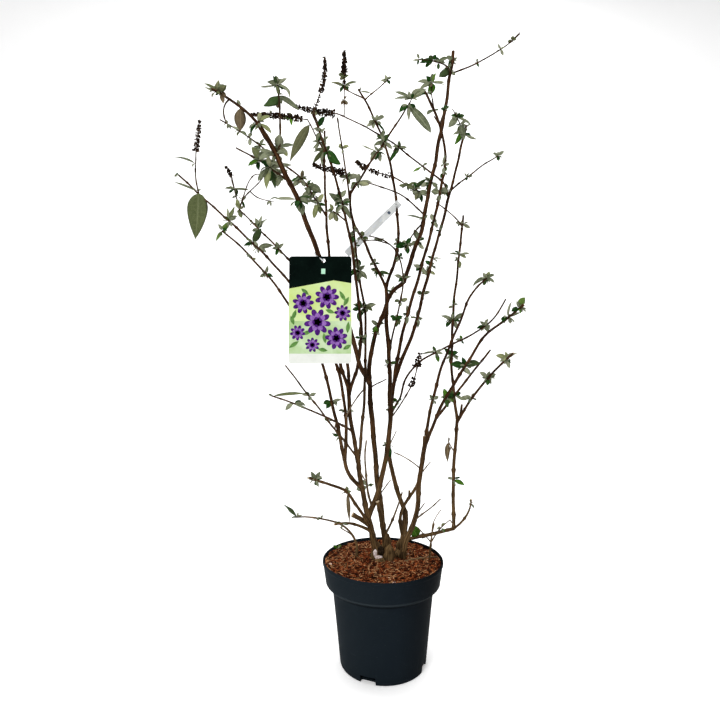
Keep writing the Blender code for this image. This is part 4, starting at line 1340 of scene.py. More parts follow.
@dataclass(frozen=True)
class Crown:
    """The old woody root crown: knobbly lumps with peeling bark and pale cut faces, and a near-black lump
    whose colour is the dark wood and painted shade of a hollow.
    """

    node: str = "root_crown"
    lumps: tuple[Lump, ...] = (
        Lump("heart", (0.004, 0.006, 0.26), (0.03, 0.026, 0.024), 0.005),
        Lump("left_knuckle", (-0.015, -0.004, 0.266), (0.016, 0.016, 0.036), 0.003),
        Lump("front_knuckle", (-0.006, -0.024, 0.258), (0.017, 0.011, 0.012), 0.003),
        Lump("right_knuckle", (0.046, 0.02, 0.26), (0.018, 0.018, 0.014), 0.003),
        Lump("grey_lump", (0.016, -0.016, 0.272), (0.015, 0.0125, 0.026), 0.0025),
        Lump("neck", (0.011, 0.0, 0.292), (0.0115, 0.0115, 0.032), 0.002),
        Lump("right_neck", (0.05, 0.028, 0.276), (0.0115, 0.0115, 0.024), 0.002),
        Lump("front_right_root", (0.054, 0.001, 0.267), (0.0085, 0.0085, 0.018), 0.0015),
    )
    cut: Lump = Lump("cut_face", (-0.02, -0.019, 0.279), (0.0045, 0.0045, 0.011), 0.001)
    low_cut: Lump = Lump("low_cut_face", (-0.011, -0.0225, 0.269), (0.0095, 0.0045, 0.0055), 0.001)
    # The hollow is a lump, not a cavity: its near-black colour is painted shade of the hole, over dark inner
    # wood.
    hollow: Lump = Lump("hollow", (-0.005, -0.019, 0.286), (0.008, 0.006, 0.012), 0.0012)

    def lump(self, bm: bmesh.types.BMesh, lump: Lump, slot: int) -> None:
        """Add one roughened lump to a bmesh.

        Args:
            bm: The bmesh, with a vector layer named grain.
            lump: The lump.
            slot: The material index of its faces.
        """
        source = rng("crown", lump.name)
        grain = bm.verts.layers.float_vector["grain"]
        made = bmesh.ops.create_icosphere(bm, subdivisions=4, radius=1.0)["verts"]
        phases = source.uniform(0, 6.28, 8)
        for vert in made:
            x, y, z = vert.co
            turn = math.atan2(y, x)
            ribs = math.sin(7 * turn + phases[0] + 1.4 * z) + 0.7 * math.sin(13 * turn + phases[1] - 2 * z)
            knobs = math.sin(5 * x + phases[2]) * math.sin(5 * y + phases[3]) * math.sin(4 * z + phases[4])
            fine = math.sin(17 * x + phases[5]) * math.sin(19 * y + phases[6]) + float(source.normal(0, 0.35))
            grow = lump.rough * (0.6 * ribs * (1 - z * z) + 1.2 * knobs + 0.35 * fine)
            out = Vector((x, y, z))
            place = Vector((x * lump.half[0], y * lump.half[1], z * lump.half[2])) + out * grow
            vert.co = place + Vector(lump.middle)
            vert[grain] = (0.9 * turn * lump.half[0], lump.half[0], vert.co.z * 1.4)
        for face in {face for vert in made for face in vert.link_faces}:
            face.material_index = slot

    def build(self, finishes: Finishes) -> None:
        """Build the crown in place of its node.

        Args:
            finishes: All finishes.
        """
        bm = bmesh.new()
        bm.verts.layers.float_vector.new("grain")
        for lump in self.lumps:
            self.lump(bm, lump, 0)
        self.lump(bm, self.cut, 1)
        self.lump(bm, self.low_cut, 1)
        self.lump(bm, self.hollow, 2)
        piece = new_mesh("root_crown_wood", bm, [finishes.bark, finishes.fresh_cut, finishes.hollow])
        hand_over(piece, self.node)
        LOG.info("crown: %d faces", len(piece.data.polygons))


Outline = list[tuple[float, float]]


class Print(Enum):
    """The picture tag's colours, by material index."""

    HEADER = 0
    GROUND = 1
    DEEP = 2
    SQUARE = 3
    BLANK = 4
    BACK = 5
    PETAL = 6
    PALE_PETAL = 7
    LEAF = 8


def rounded(width: float, height: float, corner: float, steps: int = 6) -> Outline:
    """Return a rounded rectangle's outline about the origin, counter-clockwise.

    Args:
        width: Its whole width.
        height: Its whole height.
        corner: The corners' radius.
        steps: How many edges a corner has.

    Returns:
        The outline's points.
    """
    outline = []
    for side, (right, up) in enumerate(((1, 1), (-1, 1), (-1, -1), (1, -1))):
        for turn in np.radians(90 * (side + np.arange(steps + 1) / steps)):
            x = right * (width / 2 - corner) + corner * math.cos(turn)
            outline.append((x, up * (height / 2 - corner) + corner * math.sin(turn)))
    return outline


def plate(bm: bmesh.types.BMesh, outlines: list[Outline], front: float, thickness: float, slot: int) -> None:
    """Add an upright flat plate that faces -Y.

    Args:
        bm: The bmesh.
        outlines: The outer outline, then any holes, as (x, z) points.
        front: The front's y.
        thickness: How thick the plate is, towards +Y.
        slot: The material index.
    """
    edges = []
    for outline in outlines:
        loop = [bm.verts.new((x, front, z)) for x, z in outline]
        edges += [bm.edges.new(pair) for pair in zip(loop, loop[1:] + loop[:1])]
    filled = bmesh.ops.triangle_fill(bm, edges=edges, use_beauty=True, use_dissolve=False)["geom"]
    faces = [item for item in filled if isinstance(item, bmesh.types.BMFace)]
    grown = bmesh.ops.extrude_face_region(bm, geom=faces, use_keep_orig=True)["geom"]
    back = [item for item in grown if isinstance(item, bmesh.types.BMVert)]
    bmesh.ops.translate(bm, vec=(0, thickness, 0), verts=back)
    every = list({face for vert in back for face in vert.link_faces} | set(faces))
    for face in every:
        face.material_index = slot
    bmesh.ops.recalc_face_normals(bm, faces=every)


def label(bm: bmesh.types.BMesh, outline: Outline, card: float, thickness: float, slot: int) -> None:
    """Add a thin plate on the front of an upright card.

    Args:
        bm: The bmesh.
        outline: The plate's outline.
        card: The card's thickness.
        thickness: The plate's thickness.
        slot: The material index.
    """
    plate(bm, [outline], -card / 2 - thickness, thickness, slot)


def rectangle(x: float, z: float, width: float, height: float) -> Outline:
    """Return a rectangle's outline about a middle, counter-clockwise."""
    return [(x + width * i / 2, z + height * j / 2) for i, j in ((-1, -1), (1, -1), (1, 1), (-1, 1))]


@dataclass(frozen=True)
class Rosette:
    """A printed round flower of many petals on the picture tag, in millimetres from the tag's middle."""

    x: float
    z: float
    radius: float
    turn: float


@dataclass(frozen=True)
class PictureTag:
    """The big hanging tag: a dark header, a generic flower pattern and a bare strip below."""

    width: float = 0.14
    height: float = 0.24
    thickness: float = 0.0012
    layer: float = 0.00007
    margin: float = 0.4
    leaf_width: float = 9.0
    corner: float = 0.006
    hole: Triple = (0.007, 0.11, 0.0045)
    header_left: float = 0.047
    header_apex: tuple[float, float] = (0.03, 0.0655)
    header_right: float = 0.059
    strip_top: float = -0.0985
    square: tuple[float, float, float, float] = (0.0065, 0.086, 0.009, 0.012)
    rosettes: tuple[Rosette, ...] = (
        Rosette(-38, 14, 25, 5), Rosette(15, 28, 28, 40), Rosette(50, -8, 19, 15), Rosette(-6, -28, 31, 70),
        Rosette(-50, -52, 18, 30), Rosette(36, -64, 26, 55), Rosette(-17, -79, 17, 10),
    )
    sprigs: tuple[tuple[float, float, float, float], ...] = (
        (-58, -12, 26, 70), (-62, -24, 22, 110), (50, 30, 28, 120), (58, 18, 24, 60), (22, -4, 22, 160),
        (-30, -52, 26, 20), (10, -64, 24, 100), (62, -40, 26, 85), (-58, -78, 26, 35), (6, -90, 22, 170),
        (-34, 40, 22, 140), (60, -84, 20, 30),
    )

    def outlines(self) -> list[Outline]:
        """Return the card's outline and its hole.

        Returns:
            Both outlines.
        """
        x, z, radius = self.hole
        turns = np.linspace(2 * math.pi, 0, 20, endpoint=False)
        hole = [(x + radius * math.cos(turn), z + radius * math.sin(turn)) for turn in turns]
        return [rounded(self.width, self.height, self.corner), hole]

    def line(self, x: float) -> float:
        """Return the header's lower edge at x.

        Args:
            x: The place.

        Returns:
            The edge's z.
        """
        half = self.width / 2
        left = np.interp(x, (-half, self.header_apex[0]), (self.header_left, self.header_apex[1]))
        right = np.interp(x, (self.header_apex[0], half), (self.header_apex[1], self.header_right))
        return float(left if x < self.header_apex[0] else right)

    def card(self, bm: bmesh.types.BMesh) -> None:
        """Add the card and give each part of its front its colour.

        Args:
            bm: The bmesh.
        """
        plate(bm, self.outlines(), -self.thickness / 2, self.thickness, Print.BACK.value)
        half = self.width / 2
        waist = 0.5 * (self.strip_top + self.header_left)
        apex = Vector((self.header_apex[0], 0, self.header_apex[1]))
        cuts = [((0, 0, level), Vector((0, 0, 1))) for level in (self.strip_top, waist)]
        for end in (Vector((half, 0, self.header_right)), Vector((-half, 0, self.header_left))):
            cuts.insert(0, (apex, (apex - end).cross(Vector((0, 1, 0))).normalized()))
        for place, normal in cuts:
            every = bm.verts[:] + bm.edges[:] + bm.faces[:]
            bmesh.ops.bisect_plane(bm, geom=every, plane_co=place, plane_no=normal)
        for face in (face for face in bm.faces if face.normal.y < -0.9):
            middle = face.calc_center_median()
            colour = Print.GROUND if middle.z > waist else Print.DEEP
            if middle.z > self.line(middle.x):
                colour = Print.HEADER
            elif middle.z < self.strip_top:
                colour = Print.BLANK
            face.material_index = colour.value

    def blob(
        self,
        bm: bmesh.types.BMesh,
        x: float,
        z: float,
        size: tuple[float, float],
        turn: float,
        lift: int,
        ink: Print,
    ) -> None:
        """Add one printed oval or pointed leaf, kept inside the picture.

        Args:
            bm: The bmesh.
            x: Its middle's x in millimetres.
            z: Its middle's z in millimetres.
            size: Length and width in millimetres.
            turn: Its bearing in degrees.
            lift: Which layer of print it lies in.
            ink: Its colour; a leaf's makes it pointed.
        """
        length, width = size
        lean = math.radians(turn)
        side = self.width / MM / 2 - self.margin
        outline = []
        for angle in np.linspace(0, 2 * math.pi, 18, endpoint=False):
            along = 0.5 * length * math.cos(angle)
            across = 0.5 * width * math.sin(angle)
            if ink is Print.LEAF:
                across *= 1 - 0.75 * (2 * along / length) ** 2
            px = x + along * math.cos(lean) - across * math.sin(lean)
            pz = z + along * math.sin(lean) + across * math.cos(lean)
            px = min(max(px, -side), side)
            pz = min(max(pz, self.strip_top / MM), self.line(px * MM) / MM - self.margin)
            outline.append((px * MM, pz * MM))
        label(bm, outline, self.thickness, self.layer * lift, ink.value)

    def print(self, bm: bmesh.types.BMesh) -> None:
        """Add the pattern: leaves, then rosettes over them.

        Args:
            bm: The bmesh.
        """
        for index, (x, z, length, turn) in enumerate(self.sprigs):
            self.blob(bm, x, z, (length, self.leaf_width), turn, 1 + index % 2, Print.LEAF)
        rings = ((0.66, 9, Print.PETAL), (0.4, 7, Print.PALE_PETAL), (0.16, 5, Print.PETAL))
        for index, rosette in enumerate(self.rosettes):
            for ring, (share, count, ink) in enumerate(rings):
                size = (rosette.radius * (0.62 - 0.1 * ring), rosette.radius * 0.4)
                for petal in range(count):
                    turn = rosette.turn + 360 * petal / count + 20 * ring
                    x = rosette.x + rosette.radius * share * math.cos(math.radians(turn))
                    z = rosette.z + rosette.radius * share * math.sin(math.radians(turn))
                    self.blob(bm, x, z, size, turn, 3 + 3 * (index % 3) + ring, ink)
        label(bm, rectangle(*self.square), self.thickness, 0.0001, Print.SQUARE.value)

    def build(self, finishes: Finishes) -> None:
        """Build the tag in place of its node.

        Args:
            finishes: All finishes.
        """
        low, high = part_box("picture_tag")
        bm = bmesh.new()
        self.card(bm)
        self.print(bm)
        bmesh.ops.translate(bm, vec=(low + high) / 2, verts=bm.verts[:])
        piece = new_mesh("picture_tag_card", bm, finishes.card)
        piece.data.shade_flat()
        hand_over(piece, "picture_tag")
        LOG.info("picture tag: %d faces", len(piece.data.polygons))


def strap(bm: bmesh.types.BMesh, path: list[Vector], across: Vector, width: float, thickness: float) -> None:
    """Sweep a flat strap with cut corners along a closed path.

    Args:
        bm: The bmesh.
        path: The path's points.
        across: The direction of the strap's width.
        width: The strap's width.
        thickness: The strap's thickness.
    """
    count = len(path)
    loops = []
    wide = across.normalized()
    corners = ((-0.5, -0.35), (-0.35, -0.5), (0.35, -0.5), (0.5, -0.35))
    corners += tuple((-a, -b) for a, b in corners)
    for index, point in enumerate(path):
        ahead = (path[(index + 1) % count] - path[index - 1]).normalized()
        deep = ahead.cross(wide).normalized()
        ring = [bm.verts.new(point + wide * (width * a) + deep * (thickness * b)) for a, b in corners]
        loops.append([bm.edges.new(pair) for pair in zip(ring, ring[1:] + ring[:1])])
    for index in range(count):
        bmesh.ops.bridge_loops(bm, edges=loops[index] + loops[(index + 1) % count])
    bmesh.ops.recalc_face_normals(bm, faces=bm.faces[:])


@dataclass(frozen=True)
class TagTie:
    """The clear strap through the tag's hole and round the cane, squeezed to a tail near the hole."""

    radius: float = 0.017
    squeeze: float = 0.62
    normal: Triple = (0.5, -0.4, 0.77)
    width: float = 0.003
    thickness: float = 0.0011
    steps: int = 40

    def build(self, finishes: Finishes) -> None:
        """Build the tie in place of its node.

        Args:
            finishes: All finishes.
        """
        normal = Vector(self.normal).normalized()
        low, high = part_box("tag_tie")
        middle = (low + high) / 2
        down = (normal * normal.z - Vector((0, 0, 1))).normalized()
        side = normal.cross(down)
        path = []
        for turn in np.linspace(0, 2 * math.pi, self.steps, endpoint=False):
            open_share = 0.35 + 0.65 * (0.5 - 0.5 * math.cos(turn)) ** 0.8
            out = self.radius * self.squeeze * open_share * math.sin(turn)
            path.append(middle + down * (self.radius * math.cos(turn)) + side * out)
        bm = bmesh.new()
        strap(bm, path, normal, self.width, self.thickness)
        hand_over(new_mesh("tag_tie_strap", bm, [finishes.tie]), "tag_tie")


@dataclass(frozen=True)
class StripTag:
    """The long clear strip that is looped round the centre cane and hangs down to the left."""

    length: float = 0.218
    width: float = 0.021
    thickness: float = 0.001
    slope: float = 44.5
    share: float = 0.38
    loop_radius: float = 0.0065
    bands: tuple[tuple[float, float], ...] = (
        (-0.34, 0.011), (-0.22, 0.0143), (-0.1, 0.0121), (0.03, 0.0132), (0.15, 0.011),
    )

    def build(self, finishes: Finishes, skeleton: Skeleton) -> None:
        """Build the strip in place of its node, and its loop.

        Args:
            finishes: All finishes.
            skeleton: The limbs' lines.
        """
        lean = math.radians(self.slope)
        low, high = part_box("strip_tag")
        bm = bmesh.new()
        self.strip(bm)
        bmesh.ops.rotate(bm, cent=(0, 0, 0), matrix=Matrix.Rotation(-lean, 3, "Y"), verts=bm.verts[:])
        bmesh.ops.translate(bm, vec=(low + high) / 2, verts=bm.verts[:])
        piece = new_mesh("strip_tag_card", bm, finishes.strip)
        piece.data.shade_flat()
        hand_over(piece, "strip_tag")
        hang = Vector(skeleton.at("centre_cane", self.share))
        along = Vector((math.cos(lean), 0, math.sin(lean)))
        path = []
        for turn in np.linspace(0, 2 * math.pi, 28, endpoint=False):
            deep = Vector((0, self.loop_radius * math.sin(turn), 0))
            path.append(hang + along * (self.loop_radius * math.cos(turn)) + deep)
        bm = bmesh.new()
        strap(bm, path, Vector((-along.z, 0, along.x)), 0.006, 0.0008)
        hand_over(new_mesh("strip_tag_loop", bm, finishes.strip[:1]))

    def strip(self, bm: bmesh.types.BMesh) -> None:
        """Add the level strip with its slot, edge lines, mark and bands where the print stood.

        Args:
            bm: The bmesh.
        """
        hole = [(x + 0.5 * self.length - 0.011, z) for x, z in rounded(0.004, 0.01, 0.0018, 3)][::-1]
        plate(bm, [rounded(self.length, self.width, 0.004), hole], -self.thickness / 2, self.thickness, 0)
        for edge in (-1, 1):
            line = rectangle(0, edge * (self.width / 2 - 0.0011), 0.92 * self.length, 0.0008)
            label(bm, line, self.thickness, 0.0001, 1)
        mark = [(x + 0.3 * self.length, z) for x, z in rounded(0.008, 0.009, 0.0008, 2)]
        label(bm, mark, self.thickness, 0.0001, 2)
        for index, (place, width) in enumerate(self.bands):
            shape = rounded(width, 0.0042, 0.0008, 2)
            band = [(x + place * self.length, z + 0.0015 * (index % 2)) for x, z in shape]
            label(bm, band, self.thickness, 0.00006, 3)


@dataclass(frozen=True)
class Studio:
    """The pale floor, the light and the camera."""

    camera_place: Triple = (-0.06, -1.353, 0.771)
    camera_tilt: float = 93.05
    lens: float = 25.0
    drop: float = -0.0306
    floor_size: float = 14.0
    floor_colour: Triple = (0.93, 0.93, 0.93)
    floor_glow: float = 0.22

    def floor(self) -> None:
        """Add a wide floor that curves up behind the plant."""
        bm = bmesh.new()
        half = self.floor_size / 2
        start = bm.verts.new((-half, -half, 0))
        end = bm.verts.new((half, -half, 0))
        edge = bm.edges.new((start, end))
        sweep = ((1.6, 0), (2.1, 0.06), (2.6, 0.26), (3, 0.62), (3.25, 1.15), (3.35, 1.9), (3.38, 6.5))
        for y, z in sweep:
            grown = bmesh.ops.extrude_edge_only(bm, edges=[edge])["geom"]
            verts = [item for item in grown if isinstance(item, bmesh.types.BMVert)]
            for vert in verts:
                vert.co = (vert.co.x, y, z)
            edge = bm.edges.get(verts)
        bmesh.ops.recalc_face_normals(bm, faces=bm.faces[:])
        tree = NodeTree("floor_paper")
        cloud = tree.noise(tree.space(Space.OBJECT), 0.6, 2.0)
        edge_colour = tuple(0.985 * value for value in self.floor_colour)
        material = tree.paint(tree.ramp(cloud, (0.3, edge_colour), (0.7, self.floor_colour)), 0.9, 0.1)
        tree.shader.inputs["Emission Color"].default_value = (1, 1, 1, 1)
        tree.shader.inputs["Emission Strength"].default_value = self.floor_glow
        new_mesh("floor", bm, [material])

    def lamp(self, name: str, place: Triple, aim: Triple, size: float, power: float) -> None:
        """Add a square soft light.

        Args:
            name: The light's name.
            place: Where it stands.
            aim: The point it faces.
            size: Its width.
            power: Its power in watts.
        """
        data = bpy.data.lights.new(name, "AREA")
        data.shape = "SQUARE"
        data.size = size
        data.energy = power
        lamp = bpy.data.objects.new(name, data)
        lamp.location = place
        lamp.rotation_euler = (Vector(aim) - Vector(place)).to_track_quat("-Z", "Y").to_euler()
        bpy.context.scene.collection.objects.link(lamp)

    def build(self) -> None:
        """Set up floor, light and camera."""
        self.floor()
        self.lamp("key", (-1.6, -3.0, 2.9), (0, 0, 0.9), 1.4, 78)
        self.lamp("top", (0.2, 0.6, 4.6), (0, 0.5, 0.0), 4.0, 200)
        world = bpy.data.worlds.new("studio")
        world.use_nodes = True
        world.node_tree.nodes["Background"].inputs["Color"].default_value = (1, 1, 1, 1)
        world.node_tree.nodes["Background"].inputs["Strength"].default_value = 0.45
        bpy.context.scene.world = world
        data = bpy.data.cameras.new("camera")
        data.lens = self.lens
        data.sensor_width = 36.0
        data.shift_y = self.drop
        camera = bpy.data.objects.new("camera", data)
        camera.location = self.camera_place
        camera.rotation_euler = (math.radians(self.camera_tilt), 0, 0)
        bpy.context.scene.collection.objects.link(camera)
        bpy.context.scene.camera = camera
        bpy.context.scene.view_settings.view_transform = "Standard"


LETTERS = dict(zip("DBGOPX", Tint))


@dataclass(frozen=True)
class Blade:
    """One leaf: its bearing in the picture plane (0 right, 90 up), its size in millimetres and its colour.

    turn is how many degrees it curves; a leaf without one droops by the branching rule.
    """

    bearing: float
    length: float
    width: float
    tint: Tint
    turn: "float | None" = None

    @classmethod
    def read(cls, row: str) -> "Blade":
        """Return the leaf of a row: bearing, length, width, the colour's letter and its turn, if any."""
        bearing, length, width, letter, *turn = row.split()
        return cls(float(bearing), float(length), float(width), LETTERS[letter], *map(float, turn))


@dataclass(frozen=True)
class Spray:
    """Leaves that grow from one place of a limb; extra is how many the branching rule adds around them."""

    limb: str
    share: float
    extra: int
    blades: tuple[Blade, ...]


LEAF_ROWS = {
    "left_leader_tip": (
        (0.91, 3, "150 28 9 O, 172 22 8 G, 75 18 9 O, 40 22 9 O, 112 20 8 G, 20 18 8 O"),
        (0.84, 1, "285 20 8 X, 315 16 8 X, 60 18 8 O, 95 16 8 G"),
        (0.46, 0, "268 44 21 X, 120 12 6 G"),
    ),
    "left_stalk": (
        (1.0, 3, "150 16 8 D, 214 38 9 G 80, 100 18 10 D, 60 16 8 G, 22 24 7 G -40, -50 42 7 G -85, "
         "170 20 9 G, 330 18 8 D"),
        (0.86, 1, "223 38 24 D -15, -38 50 13 G -15, 262 22 9 X, 290 16 8 G"),
        (0.14, 2, "85 24 17 G, 320 22 10 P, 200 20 9 G, 8 30 8 G"),
    ),
    "left_leader": (
        (0.995, 3, "30 24 8 P, -38 28 9 P, 225 26 8 D"),
        (0.9, 3, "165 36 10 G, 200 32 10 G, 20 22 9 G"),
        (0.76, 4, "180 42 7 G 30, 20 26 13 D, 290 28 16 G, 350 24 11 G"),
    ),
    "long_left_bough": (
        (0.94, 2, "120 18 7 G, 300 20 7 G"),
        (0.84, 2, "150 22 8 G, 320 26 10 G, 80 16 7 G"),
        (0.76, 2, "95 20 8 G, 275 26 10 G"),
        (0.67, 2, "250 28 14 G, 60 20 8 G, 150 16 7 D"),
        (0.3, 5, "195 32 9 D 30, 225 34 15 G, 250 20 13 X, 80 22 10 G"),
        (0.24, 6, "330 42 20 G, 150 26 11 G, 280 26 12 G, 60 20 9 D"),
        (0.18, 5, "200 28 11 G, 150 24 10 G, 270 22 10 G, 20 22 10 D"),
        (0.1, 5, "60 28 13 P, 255 40 14 P, 285 28 11 O, 170 22 9 G"),
    ),
    "left_spike_stalk": ((0.7, 1, "165 68 6 G 35"),),
    "far_left_cane": (
        (0.92, 1, "158 64 6 G 20, 30 14 6 O"),
        (1.0, 1, "150 14 6 D, 200 12 6 O"),
        (0.78, 2, "235 30 15 B -15, 75 44 12 O 10, 100 38 9 G, 20 20 10 G, 150 24 9 D, 300 26 8 G, "
         "50 30 10 O"),
        (0.68, 3, "60 44 19 D, 200 24 12 D, 300 20 9 G"),
        (0.66, 2, "10 42 14 G, 330 26 10 G, 120 20 9 G"),
        (0.11, 1, "0 20 6 G, 180 16 6 G"),
    ),
    "spike_stalk_small": ((0.6, 2, "178 30 7 O, 2 46 7 O, 205 22 8 D, 165 18 7 G"),),
    "back_left_prong": ((0.36, 2, "85 24 12 D, 200 14 6 G"),),
    "back_left_fork": ((0.17, 1, "285 26 8 D 20, 40 16 7 G"),),
    "back_left_cane": (
        (1.0, 3, "120 26 9 D, 100 30 13 P, 280 26 14 O, 30 18 8 O"),
        (0.85, 2, "75 40 10 G -10, 42 44 8 G -50, 110 36 12 G 30, 60 30 12 D, 200 20 10 G"),
        (0.89, 2, "330 20 9 D, 140 18 8 G"),
        (0.71, 4, "110 22 11 G, 40 22 10 G, 250 20 10 D, 300 18 9 P, 180 18 9 G"),
    ),
    "low_left_cane": (
        (1.0, 2, "240 28 9 B, 120 18 7 G, 20 14 7 D"),
        (0.86, 1, "150 14 6 G, 330 14 6 O"),
        (0.78, 2, "80 20 8 G, 200 18 8 G, 330 18 8 D"),
        (0.22, 2, "190 20 12 D, 230 18 11 D, 14 26 8 G"),
        (0.09, 1, "160 18 7 D -30"),
    ),
    "fork_lateral": ((0.8, 1, "30 30 5 G -60, 250 16 7 G"),),
    "left_inner_twig": (
        (0.58, 5, "200 26 11 B, 120 34 14 O, 350 42 13 G, 70 22 10 G"),
        (0.4, 4, "230 34 11 G, 260 42 14 P, 284 42 15 D, 315 36 10 G, 270 26 15 D, 30 30 11 G, "
         "150 20 10 D, 6 44 9 G, 345 38 9 G 20"),
        (0.14, 2, "240 22 9 G, 60 18 8 G"),
    ),
    "top_strand_a": (
        (0.1, 3, "215 36 8 G 30, 30 20 9 G, 120 18 8 O"),
        (0.51, 2, "60 32 15 D, 200 18 8 G"),
    ),
    "middle_left_cane": (
        (0.92, 2, "236 52 14 O 20, 262 42 14 G, 200 30 10 G 35, 100 18 9 G, 20 18 8 G"),
    ),
    "top_strand_b": (
        (0.33, 3, "250 26 11 G, 80 20 9 D, 180 20 8 G"),
        (0.85, 0, "240 116 27 O 8"),
    ),
    "middle_cane": (
        (0.93, 2, "150 14 7 G, 30 16 7 G, 252 26 9 G"),
        (0.86, 2, "-46 48 22 D 12, 120 20 8 G, 60 14 7 D"),
        (0.67, 5, "295 44 11 G, 140 44 16 G, 40 24 10 G, 230 22 10 D"),
        (0.69, 4, "60 24 11 G, 230 24 11 G, 110 22 10 D"),
        (0.2, 4, "100 28 11 D, 260 26 11 G, 20 16 8 G, 170 14 7 D"),
        (0.3, 3, "92 28 15 D, 268 26 13 D, 180 16 8 D"),
    ),
    "slim_cane": (
        (0.88, 2, "120 18 9 P, 20 18 9 P, 270 12 7 G"),
        (0.77, 4, "10 32 14 G, 170 20 11 G, 60 18 9 D"),
        (0.57, 2, "250 18 10 P, 80 16 9 P, 340 12 7 G"),
        (0.55, 1, "260 18 11 D, 150 12 7 G"),
        (0.51, 1, "265 30 12 P, 60 12 7 G"),
        (0.41, 5, "100 28 12 G, 200 26 12 D, 320 30 12 G, 270 28 11 D, 40 24 10 G"),
        (0.46, 2, "130 20 9 G, 300 18 9 D"),
        (0.27, 5, "165 30 12 G, 15 30 12 G, 90 18 10 D, 250 20 10 D"),
    ),
    "centre_cane": (
        (0.985, 1, "0 36 5 G -40, 120 12 6 D"),
        (0.82, 4, "80 28 8 G, 30 32 11 G, 205 30 11 G, -50 42 7 D -20, 140 18 8 G"),
        (0.73, 3, "265 30 13 G, 80 22 10 G, 170 18 8 D"),
        (0.2, 2, "120 14 8 G, 320 16 9 D, 200 12 7 G"),
    ),
    "centre_prong": ((0.91, 3, "100 20 10 G, 200 22 10 G, 300 16 9 D, 30 16 8 G"),),
    "long_back_bough": (
        (0.49, 4, "90 22 11 G, 178 22 11 G, 12 26 9 G, 210 22 13 X, 238 54 13 D"),
        (0.28, 1, "220 38 10 B, 30 16 8 G"),
        (0.04, 3, "100 20 11 D, 280 20 11 D, 180 18 9 G"),
    ),
    "diagonal_bough": (
        (0.5, 4, "170 46 9 G 40, 205 20 9 G, 238 34 13 G, 285 30 10 G, 258 24 12 D, 120 18 8 G, "
         "60 16 8 D, 20 16 8 G"),
        (0.62, 6, "60 24 11 D, 200 28 11 G, 320 26 10 G, 120 22 10 G"),
        (0.11, 4, "345 34 13 P, 70 26 12 G, 5 44 6 G -60, 220 22 10 G"),
    ),
    "high_centre_twig": (
        (0.98, 3, "160 50 11 G 30, 188 54 13 G 45, 36 48 24 G -20, 52 38 16 G -30, 112 22 11 G, 80 16 9 D"),
        (0.6, 1, "222 32 17 D 30, 332 24 14 D -30, 272 46 13 G, 306 100 22 G -12, 200 18 8 G"),
    ),
    "right_cane": (
        (0.93, 1, "200 20 9 G, 30 14 7 D, 120 14 7 G"),
        (0.99, 1, "200 14 6 D, 20 12 6 G"),
        (0.65, 5, "160 26 16 G, 20 26 13 G, 260 20 10 G, 80 18 9 D"),
        (0.74, 2, "95 26 11 G, 260 22 9 G, 20 12 7 G"),
        (0.72, 1, "60 14 9 B, 240 14 8 D"),
        (0.41, 3, "150 24 12 G, 300 22 11 G, 80 18 9 G"),
        (0.56, 2, "120 20 11 G, 300 18 9 G, 30 14 7 G"),
        (0.25, 2, "95 24 9 G, 265 24 9 G, 180 12 6 D"),
    ),
    "tuft_stalk": (
        (1.0, 3, "172 38 11 G 30, 206 34 10 G 30, -8 30 7 G -30, -22 34 9 G -25, 95 20 12 G, "
         "265 28 19 B, 250 30 7 X, 140 22 12 D"),
    ),
    "leader_left_shoot": (
        (0.6, 2, "194 40 17 D 12, 150 18 12 D, 60 16 11 D, 215 26 12 D"),
        (0.47, 2, "18 28 13 G -35, 120 16 10 D, 350 18 9 O"),
        (0.21, 2, "233 42 24 D -18, 262 24 8 X, 296 18 8 X, 20 14 8 G"),
        (0.95, 2, "180 20 7 G, 110 16 7 G, 250 14 6 D"),
    ),
    "right_leader": (
        (0.95, 2, "130 22 12 G, 40 18 9 G, 220 14 7 D"),
        (0.9, 3, "200 18 8 D, 320 14 8 G, 140 18 9 D"),
        (0.42, 6, "200 26 12 G, 250 26 12 D, 320 22 10 G, 140 20 9 G"),
        (0.26, 1, "165 46 6 G 35, 40 14 7 G"),
        (0.17, 5, "110 30 14 G, 300 24 12 G, 210 22 10 G, 20 16 8 D"),
    ),
    "far_right_bough": (
        (0.33, 1, "90 10 6 G, 300 12 6 D"),
        (0.67, 2, "110 20 8 G, 290 20 8 G, 20 12 6 G"),
        (0.86, 2, "80 14 10 O, 0 12 8 O, 200 12 8 O"),
    ),
    "knot_twig": ((0.98, 2, "90 12 8 D, 180 10 7 D, 30 12 6 D"),),
    "back_right_prong": (
        (0.67, 3, "150 22 11 D, 18 22 13 D, -26 50 8 G -40, 198 26 10 G 20, 62 18 10 D, "
         "226 40 20 G 15, 105 20 9 G"),
        (0.45, 2, "282 50 20 G -15, 262 30 12 O, 22 24 9 G -30"),
        (0.19, 1, "238 46 16 B -15, 198 30 9 G 35"),
    ),
    "back_right_cane": (
        (0.99, 1, "30 16 6 G -50, 140 16 7 G"),
        (0.96, 1, "-30 42 12 G -25, 212 20 9 G 25"),
        (0.41, 3, "120 24 13 D, 250 22 12 D, 40 16 8 G"),
        (0.44, 1, "0 28 8 G, 160 16 7 D"),
        (0.39, 1, "200 20 12 X, 330 18 10 P"),
        (0.55, 2, "80 18 9 G, 270 14 8 G, 180 12 6 D"),
        (0.21, 2, "85 28 9 G, 275 24 9 G, 0 14 7 G"),
        (0.3, 3, "150 22 12 G, 20 20 11 G, 260 18 10 D"),
    ),
    "middle_lateral": (
        (1.0, 2, "250 24 14 P, 120 18 9 P, 190 16 8 G"),
        (0.76, 2, "200 22 10 O, 270 22 12 O, 70 16 8 G"),
    ),
    "centre_left_arm": (
        (0.54, 3, "90 18 12 O, 340 16 9 O, 200 14 7 G"),
        (0.16, 2, "165 22 10 D, 345 28 10 D"),
        (0.24, 2, "90 16 8 G, 0 14 7 D, 200 14 7 G"),
    ),
    "arm_thread": ((0.32, 2, "160 16 7 G, 20 16 7 G, 90 12 6 D"),),
    "strand": (
